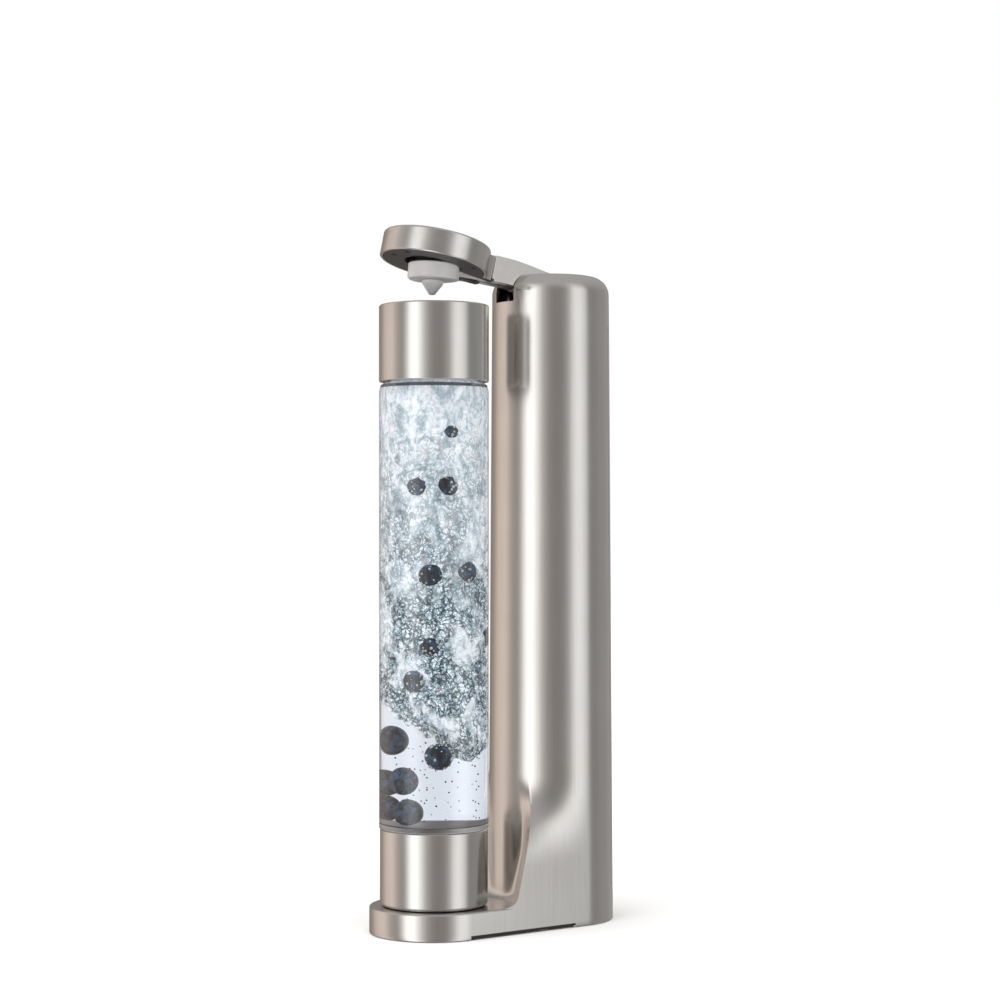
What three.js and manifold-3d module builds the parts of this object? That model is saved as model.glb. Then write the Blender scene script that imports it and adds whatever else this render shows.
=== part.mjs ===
// Countertop soda carbonator: round tower on a long base, a press lever with a nozzle arm,
// a removable bottle with a screw cap, and a screw-in gas cylinder behind a rear cover.
// Millimetres, +Z up, bottle towards -Y, width along X, origin under the middle of the base.
import * as THREE from 'three';
import { mergeVertices } from 'three/addons/utils/BufferGeometryUtils.js';
import Module from 'manifold-3d';

const wasm = await Module();
wasm.setup();

// Gaps
const GAP = 0.3;
const RUN = 0.06;
const OVER = 2;
const SHORT_CUT = 0.5;

// Housing
const AXIS_Y = 47;
const BASE_R = 41.5;
const TOP_R = 38.8;
const TOWER_H = 426;
const TOP_ROUND = 12;
const WALL = 2.2;
const DECK_Z = 17.5;
const EDGE_ROUND = 1.2;
const SHELL_FOOT_Z = 0.6;
const NOTCH_H = 2.4;
const NOTCH_Y = [-47, 36];

// Web that sweeps from the base up into the tower
const SCOOP_R = 54.3;
const SCOOP_LEAN = 0.165;
const SCOOP_FILLET = 6;
const WEB_Z = [43, 100];
const WEB_EDGE_ANGLE = 57.5;
const WEB_DIVE = 0.8;
const OUTER_LEVELS = [15, 17.5, 18.5, 20.2, 23.5, 43, 52, 61, 70, 79, 88, 100];
const INNER_LEVELS = [14, 23.5, 43, 58, 72, 86, 100];

// Rear cover
const COVER_HALF_ANGLE = 53;
const COVER_Z = [24, 392];
const COVER_GAP = 0.35;

// Lever, drawn pressed (level) and turned up about the pivot
const PIVOT_Y = 52;
const PIVOT_Z = 419.4;
const LEVER_UP = 12.6;
const SLOT_HALF = 9.6;
const SLOT_SILL_Z = 407.9;
const SLOT_REAR_Y = 59.5;
const HEAD_Y = -99;
const HEAD_R = 35;
const HEAD_Z = [-13.2, 2.8];
const HEAD_WALL = 2;
const HEAD_EDGE = 1.6;
const NECK_HALF = 9;
const NECK_WALL = 1.9;
const HUB_R = 6;
const PIN_R = 2;
const PLATE_T = 1.8;
const PLATE_R = 32.6;
const HEAD_SCREWS = [[8, -124.9], [23.3, -83.9], [8.5, -61.4]];

// Nozzle arm, drawn pressed; it lags the lever
const ARM_UP = 5;
const BOSS_R = 16.5;
const BOSS_Z = [-9.8, 0.4];
const BOSS_Y = -99.4;
const ARM_HALF = 5;
const ARM_Z = [-3.3, 0.5];
const NOZZLE_TIP_Z = -19.1;

// Bottle and cap
const BOTTLE_Y = -47;
const CUP_R = 34.7;
const CUP_Z = [17.8, 66.5];
const BOTTLE_R = 35.2;
const BOTTLE_WALL = 2.4;
const BOTTLE_Z = [66.8, 352.6];
const NECK_R = 27;
const NECK_BORE = 23.4;
const MOUTH_Z = 374;
const CAP_R = 35.3;
const CAP_Z = [353, 402.1];
const LEAD = 5;
const THREAD_R = 1.1;

// Gas cylinder and valve
const TANK_R = 30;
const TANK_Z = [18, 338];
const VALVE_R = 10.4;
const VALVE_TOP_Z = 362;
const BLOCK_HALF = 15;
const BLOCK_Z = [346, 386];
const CHASSIS_Z = [386.4, 389.4];
const CHASSIS_R = 36.1;
const PLATE_X = [10.3, 12.3];

const group = new THREE.Group();
const rad = THREE.MathUtils.degToRad;

// ---- shared shape builders ----

function toSolid(geometry) {
  let clean = geometry.clone();
  clean.deleteAttribute('normal');
  clean.deleteAttribute('uv');
  clean = mergeVertices(clean, 1e-4);
  const position = clean.attributes.position;
  const index = clean.index.array;
  const tris = [];
  let volume = 0;
  const a = new THREE.Vector3();
  const b = new THREE.Vector3();
  const c = new THREE.Vector3();
  for (let i = 0; i < index.length; i += 3) {
    const [p, q, r] = [index[i], index[i + 1], index[i + 2]];
    if (p === q || q === r || p === r) continue;
    tris.push(p, q, r);
    a.fromBufferAttribute(position, p);
    b.fromBufferAttribute(position, q);
    c.fromBufferAttribute(position, r);
    volume += a.dot(b.cross(c));
  }
  if (volume < 0) tris.reverse();
  const mesh = new wasm.Mesh({
    numProp: 3,
    vertProperties: new Float32Array(position.array),
    triVerts: new Uint32Array(tris),
  });
  return new wasm.Manifold(mesh);
}

function toGeometry(solid) {
  const mesh = solid.getMesh();
  const geometry = new THREE.BufferGeometry();
  geometry.setAttribute('position', new THREE.BufferAttribute(mesh.vertProperties, 3));
  geometry.setIndex(new THREE.BufferAttribute(mesh.triVerts, 1));
  geometry.computeVertexNormals();
  return geometry;
}

// A turned piece about a vertical axis at (x, y); profile is [radius, height] pairs.
function turned(profile, x = 0, y = 0, segments = 32) {
  const points = profile.map(([r, z]) => new THREE.Vector2(r, z));
  const geometry = new THREE.LatheGeometry(points, segments);
  geometry.rotateX(Math.PI / 2);
  geometry.translate(x, y, 0);
  return toSolid(geometry);
}

function rod(r, z0, z1, x = 0, y = 0, segments = 16) {
  return turned([[0, z0], [r, z0], [r, z1], [0, z1]], x, y, segments);
}

function ring(rIn, rOut, z0, z1, x = 0, y = 0, segments = 24) {
  return turned([[rIn, z0], [rOut, z0], [rOut, z1], [rIn, z1], [rIn, z0]], x, y, segments);
}

function box(x, y, z) {
  const geometry = new THREE.BoxGeometry(x[1] - x[0], y[1] - y[0], z[1] - z[0]);
  geometry.translate((x[0] + x[1]) / 2, (y[0] + y[1]) / 2, (z[0] + z[1]) / 2);
  return toSolid(geometry);
}

function crossRod(r, x0, x1, y, z, segments = 16) {
  const geometry = new THREE.CylinderGeometry(r, r, x1 - x0, segments);
  geometry.rotateZ(Math.PI / 2);
  geometry.translate((x0 + x1) / 2, y, z);
  return toSolid(geometry);
}

function lengthRod(r, y0, y1, x, z, segments = 20) {
  const geometry = new THREE.CylinderGeometry(r, r, y1 - y0, segments);
  geometry.translate(x, (y0 + y1) / 2, z);
  return toSolid(geometry);
}

// A plan outline raised from z0 to z1.
function slab(points, z0, z1) {
  const shape = new THREE.Shape(points.map(([x, y]) => new THREE.Vector2(x, y)));
  const geometry = new THREE.ExtrudeGeometry(shape, { depth: z1 - z0, bevelEnabled: false });
  geometry.translate(0, 0, z0);
  return toSolid(geometry);
}

// A side outline in (y, z) made x0 to x1 wide.
function sidePlate(points, x0, x1) {
  const shape = new THREE.Shape(points.map(([y, z]) => new THREE.Vector2(y, z)));
  const geometry = new THREE.ExtrudeGeometry(shape, { depth: x1 - x0, bevelEnabled: false });
  geometry.rotateZ(Math.PI / 2);
  geometry.rotateY(Math.PI / 2);
  geometry.translate(x0, 0, 0);
  return toSolid(geometry);
}

function arc(cx, cy, r, from, to, steps) {
  return Array.from({ length: steps + 1 }, (_, i) => {
    const a = rad(from + ((to - from) * i) / steps);
    return [cx + r * Math.cos(a), cy + r * Math.sin(a)];
  });
}

class Helix extends THREE.Curve {
  constructor(r, z0, rise, turns, start, x, y) {
    super();
    Object.assign(this, { r, z0, rise, turns, start, x, y });
  }
  getPoint(t, target = new THREE.Vector3()) {
    const a = this.start + t * this.turns * 2 * Math.PI;
    return target.set(
      this.x + this.r * Math.cos(a),
      this.y + this.r * Math.sin(a),
      this.z0 + this.rise * t,
    );
  }
}

function coil(r, wire, z0, rise, turns, start, x, y, perTurn = 11, sides = 5) {
  const shape = new THREE.Shape(
    arc(0, 0, wire, 0, 360 - 360 / sides, sides - 1).map(([u, v]) => new THREE.Vector2(u, v)),
  );
  const geometry = new THREE.ExtrudeGeometry(shape, {
    steps: Math.round(turns * perTurn),
    extrudePath: new Helix(r, z0, rise, turns, start, x, y),
    bevelEnabled: false,
  });
  return toSolid(geometry);
}

function hose(points, r, steps, sides = 7) {
  const shape = new THREE.Shape(
    arc(0, 0, r, 0, 360 - 360 / sides, sides - 1).map(([u, v]) => new THREE.Vector2(u, v)),
  );
  const path = new THREE.CatmullRomCurve3(points.map((p) => new THREE.Vector3(...p)));
  const geometry = new THREE.ExtrudeGeometry(shape, {
    steps,
    extrudePath: path,
    bevelEnabled: false,
  });
  return toSolid(geometry);
}

// Closed skin through stacked outlines with the same number of points.
function loft(sections) {
  const n = sections[0].points.length;
  const positions = sections.flatMap(({ z, points }) => points.flatMap(([x, y]) => [x, y, z]));
  const index = [];
  for (let j = 0; j + 1 < sections.length; j += 1) {
    for (let i = 0; i < n; i += 1) {
      const k = (i + 1) % n;
      const [a, b, c, d] = [j * n + i, j * n + k, (j + 1) * n + k, (j + 1) * n + i];
      index.push(a, b, c, a, c, d);
    }
  }
  const cap = (section, offset, flip) => {
    const outline = section.points.map(([x, y]) => new THREE.Vector2(x, y));
    for (const [a, b, c] of THREE.ShapeUtils.triangulateShape(outline, [])) {
      if (flip) index.push(offset + a, offset + c, offset + b);
      else index.push(offset + a, offset + b, offset + c);
    }
  };
  cap(sections[0], 0, true);
  cap(sections[sections.length - 1], (sections.length - 1) * n, false);
  const geometry = new THREE.BufferGeometry();
  geometry.setAttribute('position', new THREE.Float32BufferAttribute(positions, 3));
  geometry.setIndex(index);
  return toSolid(geometry);
}

function turnUp(solid, degrees) {
  return solid
    .translate([0, -PIVOT_Y, -PIVOT_Z])
    .rotate([-degrees, 0, 0])
    .translate([0, PIVOT_Y, PIVOT_Z]);
}

function atPivot(solid) {
  return solid.translate([0, PIVOT_Y, PIVOT_Z]);
}

function add(name, solid, color, options = {}) {
  const material = new THREE.MeshStandardMaterial({ color, ...options });
  material.name = name;
  const mesh = new THREE.Mesh(toGeometry(solid), material);
  mesh.name = name;
  group.add(mesh);
}

// ---- housing ----

const towerRadius = (z) => BASE_R + ((TOP_R - BASE_R) * z) / TOWER_H;

function stadium(r) {
  return [
    ...arc(0, AXIS_Y, r, 0, 180, 20),
    ...arc(0, -AXIS_Y, r, 180, 360, 20),
  ];
}

function column(inset, z0) {
  const round = TOP_ROUND - inset;
  const shoulder = TOWER_H - TOP_ROUND;
  const rim = arc(TOP_R - TOP_ROUND, shoulder, round, 0, 90, inset > 0 ? 2 : 4);
  return turned(
    [[0, z0], [towerRadius(z0) - inset, z0], ...rim, [0, TOWER_H - inset]],
    0,
    AXIS_Y,
    40,
  );
}

function scoopRadius(z) {
  const h = Math.max(z - DECK_Z, 0);
  const drop = Math.max(SCOOP_FILLET - h, 0);
  const fillet = SCOOP_FILLET - Math.sqrt(SCOOP_FILLET ** 2 - drop ** 2);
  return SCOOP_R + SCOOP_LEAN * h - fillet;
}

// Plan outline of the web: flat sides and a scooped front that melt into the round tower.
// Its back is a straight line through the middle of the tower, inside the column.
function webOutline(z, inset) {
  const side = 4;
  const front = 10;
  const blend = THREE.MathUtils.smoothstep(z, WEB_Z[0], WEB_Z[1]);
  const w = towerRadius(z) - inset - 0.02;
  const rc = w - WEB_DIVE * blend;
  const rs = scoopRadius(z) + inset;
  const edgeY = -AXIS_Y + Math.sqrt(rs ** 2 - w ** 2);
  const spread = (Math.asin(w / rs) * 180) / Math.PI;
  const mix = (p, q) => [p[0] + (q[0] - p[0]) * blend, p[1] + (q[1] - p[1]) * blend];
  const round = (a) => [rc * Math.cos(rad(a)), AXIS_Y + rc * Math.sin(rad(a))];
  const left = [];
  const right = [];
  for (let i = 0; i <= side; i += 1) {
    const t = i / side;
    const y = AXIS_Y + (edgeY - AXIS_Y) * t;
    left.push(mix([-w, y], round(180 + WEB_EDGE_ANGLE * t)));
    right.unshift(mix([w, y], round(-WEB_EDGE_ANGLE * t)));
  }
  const scoop = [];
  for (let i = 1; i < front; i += 1) {
    const t = i / front;
    const a = rad(90 + spread - 2 * spread * t);
    const p = [rs * Math.cos(a), -AXIS_Y + rs * Math.sin(a)];
    scoop.push(mix(p, round(180 + WEB_EDGE_ANGLE + (180 - 2 * WEB_EDGE_ANGLE) * t)));
  }
  return [...left, ...scoop, ...right];
}

function web(inset, levels) {
  return loft(levels.map((z) => ({ z, points: webOutline(z, inset) })));
}

function baseBlock(inset) {
  const shape = new THREE.Shape(stadium(BASE_R - inset).map(([x, y]) => new THREE.Vector2(x, y)));
  const height = DECK_Z - inset - SHELL_FOOT_Z;
  const bevel = inset > 0 ? 0.4 : EDGE_ROUND;
  const geometry = new THREE.ExtrudeGeometry(shape, {
    depth: height - 2 * bevel,
    bevelEnabled: true,
    bevelSize: bevel,
    bevelOffset: -bevel,
    bevelThickness: bevel,
    bevelSegments: inset > 0 ? 1 : 2,
  });
  geometry.translate(0, 0, SHELL_FOOT_Z + bevel);
  return toSolid(geometry);
}

function outerForm(inset) {
  const levels = inset > 0 ? INNER_LEVELS : OUTER_LEVELS;
  return column(inset, SHELL_FOOT_Z).add(baseBlock(inset)).add(web(inset, levels));
}

function coverSector(halfAngle, z0, z1) {
  const reach = 60;
  const core = 20;
  return slab(
    [
      ...arc(0, AXIS_Y, reach, 90 - halfAngle, 90 + halfAngle, 12),
      ...arc(0, AXIS_Y, core, 90 + halfAngle, 90 - halfAngle, 12),
    ],
    z0,
    z1,
  );
}

const BASE_POSTS = [[27, -62, 4.5], [-27, -62, 4.5], [35, 14, 4.6], [-35, 14, 4.6]];
const TOP_POSTS = [[24, 30], [-24, 30], [24, 62], [-24, 62]];
const POST_R = 3.6;
const SCREW_R = 1.5;
const PLATE_Z = [0.9, 3.4];
const PLATE_TOP_GAP = PLATE_Z[1] + GAP;

function bodyShell() {
  let shell = outerForm(0);
  const floorSkirt = slab(stadium(BASE_R - WALL), SHELL_FOOT_Z - OVER, 10);
  shell = shell.subtract(outerForm(WALL).add(floorSkirt));
  for (const [x, y, r] of BASE_POSTS) {
    const top = y < 0 ? DECK_Z - SHORT_CUT : DECK_Z - WALL;
    shell = shell.add(rod(r, PLATE_TOP_GAP, top, x, y, 12));
    shell = shell.subtract(rod(SCREW_R + 0.2, PLATE_TOP_GAP - OVER, 12, x, y, 10));
  }
  for (const [x, y] of TOP_POSTS) {
    shell = shell.add(rod(POST_R, CHASSIS_Z[1] + GAP, TOWER_H - 3.5, x, y, 10));
    shell = shell.subtract(rod(SCREW_R + 0.2, CHASSIS_Z[1] - OVER, 402, x, y, 8));
  }
  const notch = box([-60, 60], NOTCH_Y, [-OVER, SHELL_FOOT_Z + NOTCH_H]);
  shell = shell.subtract(notch);
  shell = shell.subtract(coverSector(COVER_HALF_ANGLE, COVER_Z[0], COVER_Z[1]));
  const slot = box([-SLOT_HALF, SLOT_HALF], [-10, SLOT_REAR_Y], [SLOT_SILL_Z, TOWER_H + OVER]);
  shell = shell.subtract(slot);
  return shell;
}

function rearCover() {
  const skin = column(0, COVER_Z[0] - OVER).subtract(column(WALL, COVER_Z[0] - 2 * OVER));
  const trim = (COVER_GAP / BASE_R) * (180 / Math.PI);
  const z0 = COVER_Z[0] + COVER_GAP;
  const z1 = COVER_Z[1] - COVER_GAP;
  let cover = skin.intersect(coverSector(COVER_HALF_ANGLE - trim, z0, z1));
  for (const side of [-1, 1]) {
    const rib = box([side * 14 - 0.8, side * 14 + 0.8], [AXIS_Y + 33.6, AXIS_Y + 36.5], [60, 330]);
    cover = cover.add(rib);
  }
  const grip = lengthRod(9, AXIS_Y + 30, AXIS_Y + 50, 0, COVER_Z[0] + COVER_GAP, 24);
  return cover.subtract(grip);
}

function basePlate() {
  let plate = slab(stadium(BASE_R - WALL - 0.4), PLATE_Z[0], PLATE_Z[1]);
  for (const [x, y] of FEET) {
    plate = plate.subtract(rod(FOOT_R + GAP, PLATE_Z[0] - OVER, FOOT_TOP_Z + 0.2, x, y, 16));
  }
  for (const [x, y] of BASE_POSTS) {
    plate = plate.subtract(rod(SCREW_R + 0.2, -OVER, PLATE_Z[1] + OVER, x, y, 10));
    plate = plate.subtract(rod(3.1, -OVER, PLATE_Z[0] + 1.4, x, y, 12));
  }
  const vent = (x) => box([x - 1.5, x + 1.5], [AXIS_Y - 12, AXIS_Y + 12], [-OVER, 5]);
  for (const x of [-16, -8, 0, 8, 16]) plate = plate.subtract(vent(x));
  return plate;
}

const FEET = [[20, -69], [-20, -69], [24, 68], [-24, 68]];
const FOOT_R = 6;
const FOOT_TOP_Z = 1.6;

function foot([x, y]) {
  return turned(
    [[0, 0], [FOOT_R - 0.3, 0], [FOOT_R, 0.3], [FOOT_R, FOOT_TOP_Z], [0, FOOT_TOP_Z]],
    x,
    y,
    16,
  );
}

// Screw standing up from headZ, with a six-sided socket in its head.
function screwUp(x, y, headZ, headR, headH, shankR, length) {
  const body = turned(
    [
      [0, headZ],
      [headR, headZ],
      [headR, headZ + headH],
      [shankR, headZ + headH],
      [shankR, headZ + length],
      [0, headZ + length],
    ],
    x,
    y,
    8,
  );
  return body.subtract(rod(headR * 0.5, headZ - 1, headZ + headH * 0.6, x, y, 6));
}

// ---- chassis, pivot and valve ----

function chassis() {
  let frame = rod(CHASSIS_R, CHASSIS_Z[0], CHASSIS_Z[1], 0, AXIS_Y, 32);
  const cheek = [
    [18, CHASSIS_Z[0]],
    [72, CHASSIS_Z[0]],
    [66, 412],
    [60, 421.5],
    [36, 421.5],
    [18, 405],
  ];
  frame = frame.add(sidePlate(cheek, PLATE_X[0], PLATE_X[1]));
  frame = frame.add(sidePlate(cheek, -PLATE_X[1], -PLATE_X[0]));
  frame = frame.subtract(crossRod(PIN_R + RUN, -20, 20, PIVOT_Y, PIVOT_Z));
  frame = frame.subtract(rod(4.3, 380, 395, 0, AXIS_Y, 12));
  frame = frame.add(ring(1.6, 2.6, CHASSIS_Z[1] - 1, 395, 0, SPRING_Y, 12));
  for (const [x, y] of TOP_POSTS) {
    frame = frame.subtract(rod(SCREW_R + 0.2, 380, 395, x, y, 8));
  }
  frame = frame.subtract(rod(2.6, 380, 400, HOSE_HOLE[0], HOSE_HOLE[1], 10));
  return frame;
}

const SPRING_Y = 25.4;
const HOSE_HOLE = [27, 50];

function pivotPin() {
  return crossRod(PIN_R, -13.6, 13.6, PIVOT_Y, PIVOT_Z);
}

function valveBlock() {
  const y = [AXIS_Y - BLOCK_HALF, AXIS_Y + BLOCK_HALF];
  let block = box([-BLOCK_HALF, BLOCK_HALF], y, BLOCK_Z);
  block = block.subtract(rod(VALVE_R + 0.9, BLOCK_Z[0] - OVER, 364.4, 0, AXIS_Y, 24));
  block = block.subtract(rod(1.9, 360, 372, 0, AXIS_Y, 12));
  block = block.subtract(rod(3.9, 370, BLOCK_Z[1] + OVER, 0, AXIS_Y, 16));
  block = block.subtract(crossRod(1.4, 0, BLOCK_HALF + OVER, AXIS_Y, 374, 10));
  block = block.subtract(crossRod(1.4, -BLOCK_HALF - OVER, 0, AXIS_Y, 374, 10));
  block = block.subtract(crossRod(3.1, BLOCK_HALF - 4, BLOCK_HALF + OVER, AXIS_Y, 374, 10));
  block = block.subtract(crossRod(3.1, -BLOCK_HALF - OVER, -BLOCK_HALF + 4, AXIS_Y, 374, 10));
  return block;
}

function valveSeal() {
  return ring(4, 9.6, 362.3, 364.1, 0, AXIS_Y, 28);
}

function crossTurned(profile, x, y, z, flip, segments = 12) {
  const points = profile.map(([r, h]) => new THREE.Vector2(r, h));
  const geometry = new THREE.LatheGeometry(points, segments);
  geometry.rotateZ(flip ? Math.PI / 2 : -Math.PI / 2);
  geometry.translate(x, y, z);
  return toSolid(geometry);
}

function outletFitting() {
  const profile = [
    [1.4, 0.3],
    [2.8, 0.3],
    [2.8, 4.2],
    [4.6, 4.2],
    [4.6, 7.2],
    [2, 7.2],
    [2, 12.5],
    [1.4, 12.5],
    [1.4, 0.3],
  ];
  return crossTurned(profile, BLOCK_HALF - 4, AXIS_Y, 374, false);
}

function reliefValve() {
  const profile = [
    [0, 0.3],
    [2.8, 0.3],
    [2.8, 4.2],
    [5, 4.2],
    [5, 9],
    [4, 10],
    [1.5, 10],
    [1.5, 8],
    [0, 8],
  ];
  return crossTurned(profile, -BLOCK_HALF + 4, AXIS_Y, 374, true);
}

function gasHose() {
  const path = [
    [24.1, AXIS_Y, 374],
    [25.6, AXIS_Y, 374.1],
    [27.6, AXIS_Y + 1.5, 376.5],
    [HOSE_HOLE[0], HOSE_HOLE[1], 384],
    [HOSE_HOLE[0], HOSE_HOLE[1], 392],
    [20.5, AXIS_Y + 6, 401],
    [17, AXIS_Y + 15, 408],
    [15, AXIS_Y + 22.5, 412],
    [9, AXIS_Y + 26, 414.5],
    [2.5, AXIS_Y + 23.5, 416.5],
    [0, AXIS_Y + 18, 417.8],
    [0, AXIS_Y + 13.4, 418.2],
  ];
  return hose(path, 1.7, 26);
}

function plunger() {
  return turned(
    [
      [0, 366.2],
      [1.3, 366.2],
      [1.3, 376.5],
      [3.5, 376.5],
      [3.5, 378],
      [2.6, 378],
      [2.6, 380],
      [3.5, 380],
      [3.5, 395],
      [2.6, 395],
      [2.6, 409.2],
      [2.1, 409.7],
      [0, 409.7],
    ],
    0,
    AXIS_Y,
    16,
  );
}

function plungerORing() {
  return turned(
    [[2.75, 378.2], [3.75, 378.2], [3.75, 379.8], [2.75, 379.8], [2.75, 378.2]],
    0,
    AXIS_Y,
    16,
  );
}

function plungerSpring() {
  return coil(5.2, 0.5, CHASSIS_Z[1] + 0.8, 12, 3.5, 0, 0, AXIS_Y);
}

function returnSpring() {
  return coil(4, 0.6, CHASSIS_Z[1] + 0.9, 22.6, 5, 0, 0, SPRING_Y);
}

// ---- press lever ----

// Cheek outline of the neck in (y, z) about the pivot, from the hub out to the head.
function neckOutline() {
  return [
    ...arc(0, 0, HUB_R, -80, 75, 8),
    [-16.9, 5.6],
    [-29.2, 6],
    [-42.1, 6],
    [-56.1, 4.9],
    [-66, HEAD_Z[1]],
    [-74, HEAD_Z[1]],
    [-74, -13.2],
    [-62, -13.2],
    [-56, -12.2],
    [-44, -10.9],
    [-20, -10.6],
    [-9, -10.2],
    [-2, -10.2],
  ];
}

function headShell() {
  const [z0, z1] = HEAD_Z;
  let head = turned(
    [
      [0, z0],
      [HEAD_R - 0.4, z0],
      [HEAD_R, z0 + 0.4],
      [HEAD_R, z1 - HEAD_EDGE],
      [HEAD_R - 0.35, z1 - 0.35],
      [HEAD_R - HEAD_EDGE, z1],
      [0, z1],
    ],
    0,
    HEAD_Y,
    44,
  );
  head = head.add(sidePlate(neckOutline(), -NECK_HALF, NECK_HALF));
  for (const side of [-1, 1]) head = head.add(neckFlare(side));
  const inner = HEAD_R - HEAD_WALL;
  head = head.subtract(rod(inner, z0 - OVER, z1 - HEAD_WALL, 0, HEAD_Y, 32));
  const lane = NECK_HALF - NECK_WALL;
  const channel = sidePlate(
    [
      [HUB_R + OVER, -8],
      [HUB_R + OVER, HUB_R + OVER],
      [-7, HUB_R + OVER],
      [-9, 3.4],
      [-58, 3.2],
      [-66, HEAD_Z[1] - HEAD_WALL],
      [-76, HEAD_Z[1] - HEAD_WALL],
      [-76, -16],
      [-29.5, -16],
      [-29.5, -8.4],
    ],
    -lane,
    lane,
  );
  head = head.subtract(channel);
  const gapUnder = box([-lane, lane], [-20.5, -9.5], [-16, -8]);
  head = head.subtract(gapUnder);
  const flareRoom = box([-11, 11], [-76, -57.5], [z0 - OVER, z1 - HEAD_WALL - 1.4]);
  head = head.subtract(flareRoom);
  head = head.subtract(crossRod(PIN_R + RUN, -20, 20, 0, 0));
  for (const [x, y] of HEAD_SCREWS) {
    for (const side of [-1, 1]) {
      const top = z1 - HEAD_WALL + SHORT_CUT;
      head = head.add(rod(2.7, z0 + PLATE_T + GAP, top, side * x, y, 10));
      head = head.subtract(rod(1.06, z0, -2, side * x, y, 8));
    }
  }
  return turnUp(atPivot(head), LEVER_UP);
}

// Concave plan fillet where the neck meets the round head.
function neckFlare(side) {
  const r = 7;
  const cx = NECK_HALF + 2.6 + r;
  const reach = HEAD_R + r;
  const cy = HEAD_Y + Math.sqrt(reach ** 2 - cx ** 2);
  const toHead = (Math.atan2(HEAD_Y - cy, -cx) * 180) / Math.PI;
  const curve = arc(cx, cy, r, 180, 360 + toHead, 6);
  const outline = [[0, cy + 3], [NECK_HALF, cy + 3], ...curve, [0, HEAD_Y + 20]];
  const points = outline.map(([x, y]) => [side * x, y]);
  return slab(side > 0 ? points.reverse() : points, HEAD_Z[0], HEAD_Z[1]);
}

function underPlate() {
  const [z0] = HEAD_Z;
  const disc = rod(PLATE_R, z0, z0 + PLATE_T, 0, HEAD_Y, 36);
  const tongue = box([-10.6, 10.6], [HEAD_Y + 20, -57.9], [z0, z0 + PLATE_T]);
  let plate = disc.add(tongue);
  plate = plate.subtract(rod(BOSS_R + 1.9, z0 - OVER, z0 + 5, 0, BOSS_Y, 28));
  const lane = box([-ARM_HALF - 0.8, ARM_HALF + 0.8], [BOSS_Y, -50], [z0 - OVER, z0 + 5]);
  plate = plate.subtract(lane);
  for (const [x, y] of HEAD_SCREWS) {
    for (const side of [-1, 1]) {
      plate = plate.subtract(rod(1.2, z0 - OVER, z0 + 5, side * x, y, 8));
      plate = plate.subtract(rod(2.1, z0 - OVER, z0 + 0.9, side * x, y, 10));
    }
  }
  return turnUp(atPivot(plate), LEVER_UP);
}

function headScrew(x, y) {
  const screw = screwUp(x, y, HEAD_Z[0] - 0.1, 1.8, 0.8, 0.95, 8.4);
  return turnUp(atPivot(screw), LEVER_UP);
}

// ---- nozzle arm ----

function nozzleArm() {
  const [b0, b1] = BOSS_Z;
  const wedge = 1.5;
  let arm = turned(
    [
      [0, b0],
      [BOSS_R - 1, b0],
      [BOSS_R, b0 + 1],
      [BOSS_R, b1 - 0.6],
      [BOSS_R - 0.6, b1],
      [0, b1],
    ],
    0,
    BOSS_Y,
    32,
  );
  const shave = sidePlate(
    [[BOSS_Y - 2, b0 - OVER], [BOSS_Y + 20, b0 - OVER], [BOSS_Y + 20, b0 + wedge], [BOSS_Y - 2, b0]],
    -20,
    20,
  );
  arm = arm.subtract(shave);
  arm = arm.subtract(rod(BOSS_R - 3.5, b0 + 5.6, b1 + OVER, 0, BOSS_Y, 20));
  arm = arm.subtract(rod(5.2, b0 - OVER, b0 + 3.4, 0, BOSS_Y, 20));
  arm = arm.subtract(rod(2.1, b0 - OVER, b1 + OVER, 0, BOSS_Y, 12));
  arm = arm.add(box([-ARM_HALF, ARM_HALF], [BOSS_Y + 14.2, -3], ARM_Z));
  arm = arm.add(crossRod(5, -6.6, 6.6, 0, 0, 16));
  arm = arm.subtract(box([-2, 2], [BOSS_Y + 9, -8], [-0.6, ARM_Z[1] + OVER]));
  arm = arm.subtract(crossRod(PIN_R + RUN, -20, 20, 0, 0));
  return turnUp(atPivot(arm), ARM_UP);
}

function nozzleTip() {
  const base = BOSS_Z[0];
  const tip = turned(
    [
      [1, NOZZLE_TIP_Z],
      [1.9, NOZZLE_TIP_Z],
      [6.8, base - 2.3],
      [6.8, base - GAP],
      [4.9, base - GAP],
      [4.9, base + 3.1],
      [1, base + 3.1],
      [1, NOZZLE_TIP_Z],
    ],
    0,
    BOSS_Y,
    24,
  );
  return turnUp(atPivot(tip), ARM_UP);
}

function nozzleSeal() {
  const seal = ring(2.4, 4, BOSS_Z[0] + 5.9, BOSS_Z[0] + 7.5, 0, BOSS_Y, 20);
  return turnUp(atPivot(seal), ARM_UP);
}

// ---- bottle and cap ----

function bottleBody() {
  const [z0, z1] = BOTTLE_Z;
  const r = BOTTLE_R;
  const inner = r - BOTTLE_WALL;
  const spigot = CUP_R - 2.7;
  const glass = turned(
    [
      [0, z0 - 7],
      [spigot, z0 - 7],
      [spigot, z0],
      [r - 0.5, z0],
      [r, z0 + 0.5],
      [r, z1 - 6],
      [r - 1, z1 - 1.8],
      [r - 4, z1],
      [NECK_R, z1],
      [NECK_R, MOUTH_Z],
      [NECK_BORE, MOUTH_Z],
      [NECK_BORE, z1 - 1],
      [inner - 1.5, z1 - 4],
      [inner, z1 - 8],
      [inner, z0 + 7],
      [inner - 2, z0 + 3.8],
      [inner - 6, z0 + 2.7],
      [0, z0 + 2.7],
    ],
    0,
    BOTTLE_Y,
    36,
  );
  return glass.add(coil(NECK_R, THREAD_R, 358.5, LEAD * 1.25, 1.25, 0, 0, BOTTLE_Y));
}

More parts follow.
